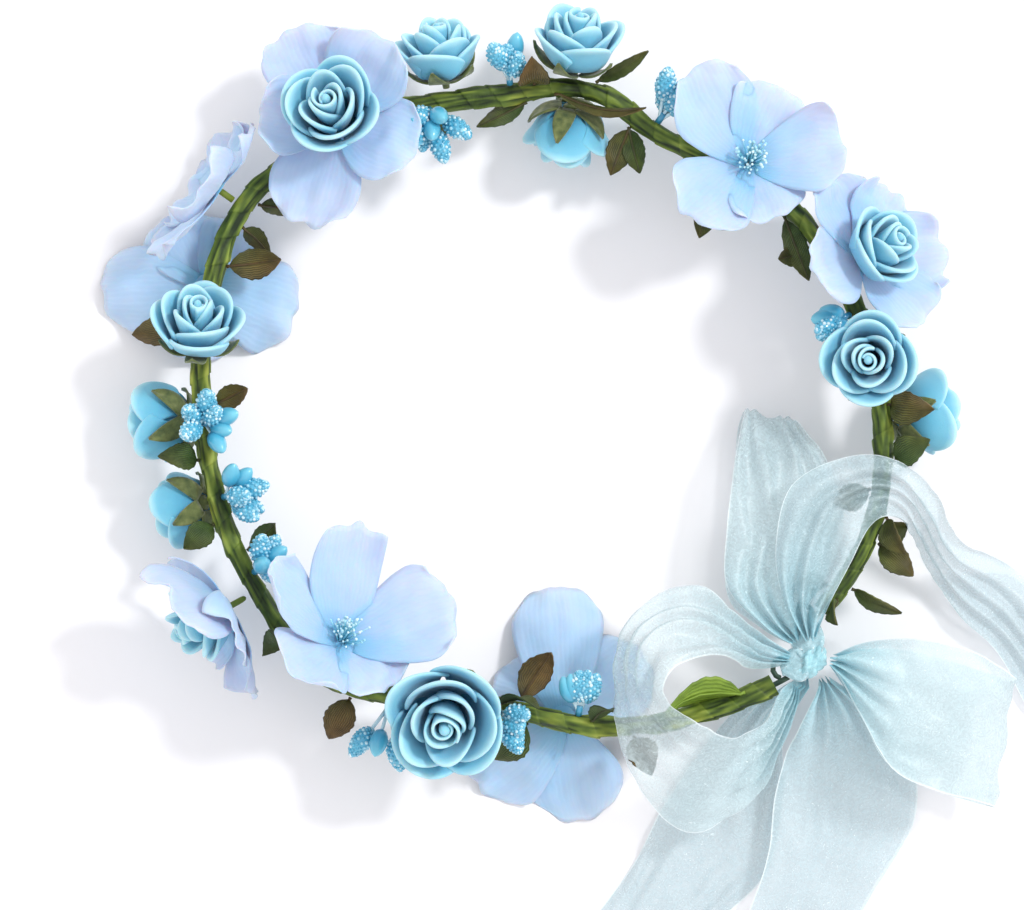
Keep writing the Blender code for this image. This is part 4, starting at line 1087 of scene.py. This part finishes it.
def add_strand(skin, centre, eye):
    """A crumpled strand from the knot over the wire's eye, round it and back under."""
    reach = (eye - centre).length
    ahead = (eye - centre).normalized()
    side = np.array(ahead.cross(Vector((0, 0, 1))))
    ahead = np.array(ahead)
    path = [(1.5 + (reach - 1.0) * t, 1.6 - 0.3 * t) for t in np.linspace(0, 1, 15)]
    path += [(reach + 0.6 * math.cos(math.pi / 2 * t), 1.3 * math.cos(math.pi * t))
             for t in np.linspace(0.2, 1, 5)]
    path += [(reach * (1 - t) + 1.0 * t, -1.3 - 0.3 * t) for t in np.linspace(0.1, 1, 12)]
    rows = []
    for i, (out, rise) in enumerate(path):
        row = []
        for share in np.linspace(-1, 1, 15):
            crumple = 0.45 * math.sin(7 * share + 0.5 * i) + 0.3 * math.sin(13 * share - 0.9 * i)
            spread = 1.9 + 2.6 * math.sin(math.pi * min(1.0, out / reach))
            point = np.array(centre) + ahead * out + side * share * spread
            row.append(point + np.array((0, 0, rise + crumple * 0.7)))
        rows.append(row)
    add_shell(skin, np.array(rows), STRAND_CLOTH, 0.5, look=1)


# ---- studio

VIEW_CENTRE = (-7.3, -14.3)  # what the camera looks straight down on
VIEW_WIDTH = 266.2
VIEW_LEVEL = 20.0  # the height at which the picture is that wide
CAMERA_RISE = 1900.0
SENSOR = 36.0  # the width of the camera's film
KEY_AZIMUTH = 33.0  # the key light comes from the right and a little behind
KEY_ELEVATION = 50.0
KEY_SPREAD = 9.0  # how wide the light looks from the table, for soft shadows
KEY_ENERGY = 1.65
SKY_COLOUR = (1.0, 0.985, 0.995, 1.0)
SKY_STRENGTH = 1.05
TABLE_HALF = 3.0  # metres from the table's middle to its edge


def add_studio():
    """The camera, one soft key light, an even sky and the table."""
    scene = bpy.context.scene
    camera = bpy.data.objects.new("camera", bpy.data.cameras.new("camera"))
    camera.location = (VIEW_CENTRE[0] * MM, VIEW_CENTRE[1] * MM, (VIEW_LEVEL + CAMERA_RISE) * MM)
    camera.data.sensor_width = SENSOR
    camera.data.lens = SENSOR * CAMERA_RISE / VIEW_WIDTH
    scene.collection.objects.link(camera)
    scene.camera = camera
    key = bpy.data.objects.new("key", bpy.data.lights.new("key", "SUN"))
    key.data.energy = KEY_ENERGY
    key.data.angle = math.radians(KEY_SPREAD)
    turn, rise = math.radians(KEY_AZIMUTH), math.radians(KEY_ELEVATION)
    toward = Vector((math.cos(turn) * math.cos(rise), math.sin(turn) * math.cos(rise), math.sin(rise)))
    key.rotation_mode = "QUATERNION"
    key.rotation_quaternion = toward.to_track_quat("Z", "Y")
    scene.collection.objects.link(key)
    world = bpy.data.worlds.new("studio")
    world.use_nodes = True
    sky = world.node_tree.nodes["Background"]
    sky.inputs["Color"].default_value = SKY_COLOUR
    sky.inputs["Strength"].default_value = SKY_STRENGTH
    scene.world = world
    scene.view_settings.view_transform = "Standard"
    bm = bmesh.new()
    bmesh.ops.create_grid(bm, x_segments=8, y_segments=8, size=TABLE_HALF)
    mesh = bpy.data.meshes.new("table")
    bm.to_mesh(mesh)
    bm.free()
    mesh.materials.append(floor_look())
    table = bpy.data.objects.new("table", mesh)
    scene.collection.objects.link(table)


def main():
    """Everything, from the studio to the bow. The wire stays the CAD's own."""
    add_studio()
    paper = paper_look()
    add_wrap(paper)
    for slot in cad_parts["core_wire"].material_slots:
        slot.material = wire_look()
    add_roses(foam_look(), sepal_look(), paper)
    add_blossoms(petal_look(), thread_look(), paper)
    add_berries(pearl_look(), bead_look())
    add_leaves(leaf_look(), fresh_leaf_look())
    add_knot(
        organza_look("organza_gathered", 0.80, (0.32, 0.66, 0.74)),
        organza_look("organza_crumpled", 0.35, (0.60, 0.76, 0.80)))
    add_ribbons(
        organza_look("organza", 0.42, (0.52, 0.665, 0.70)),
        organza_look("organza_tail", 0.46, (0.45, 0.60, 0.65)))


main()
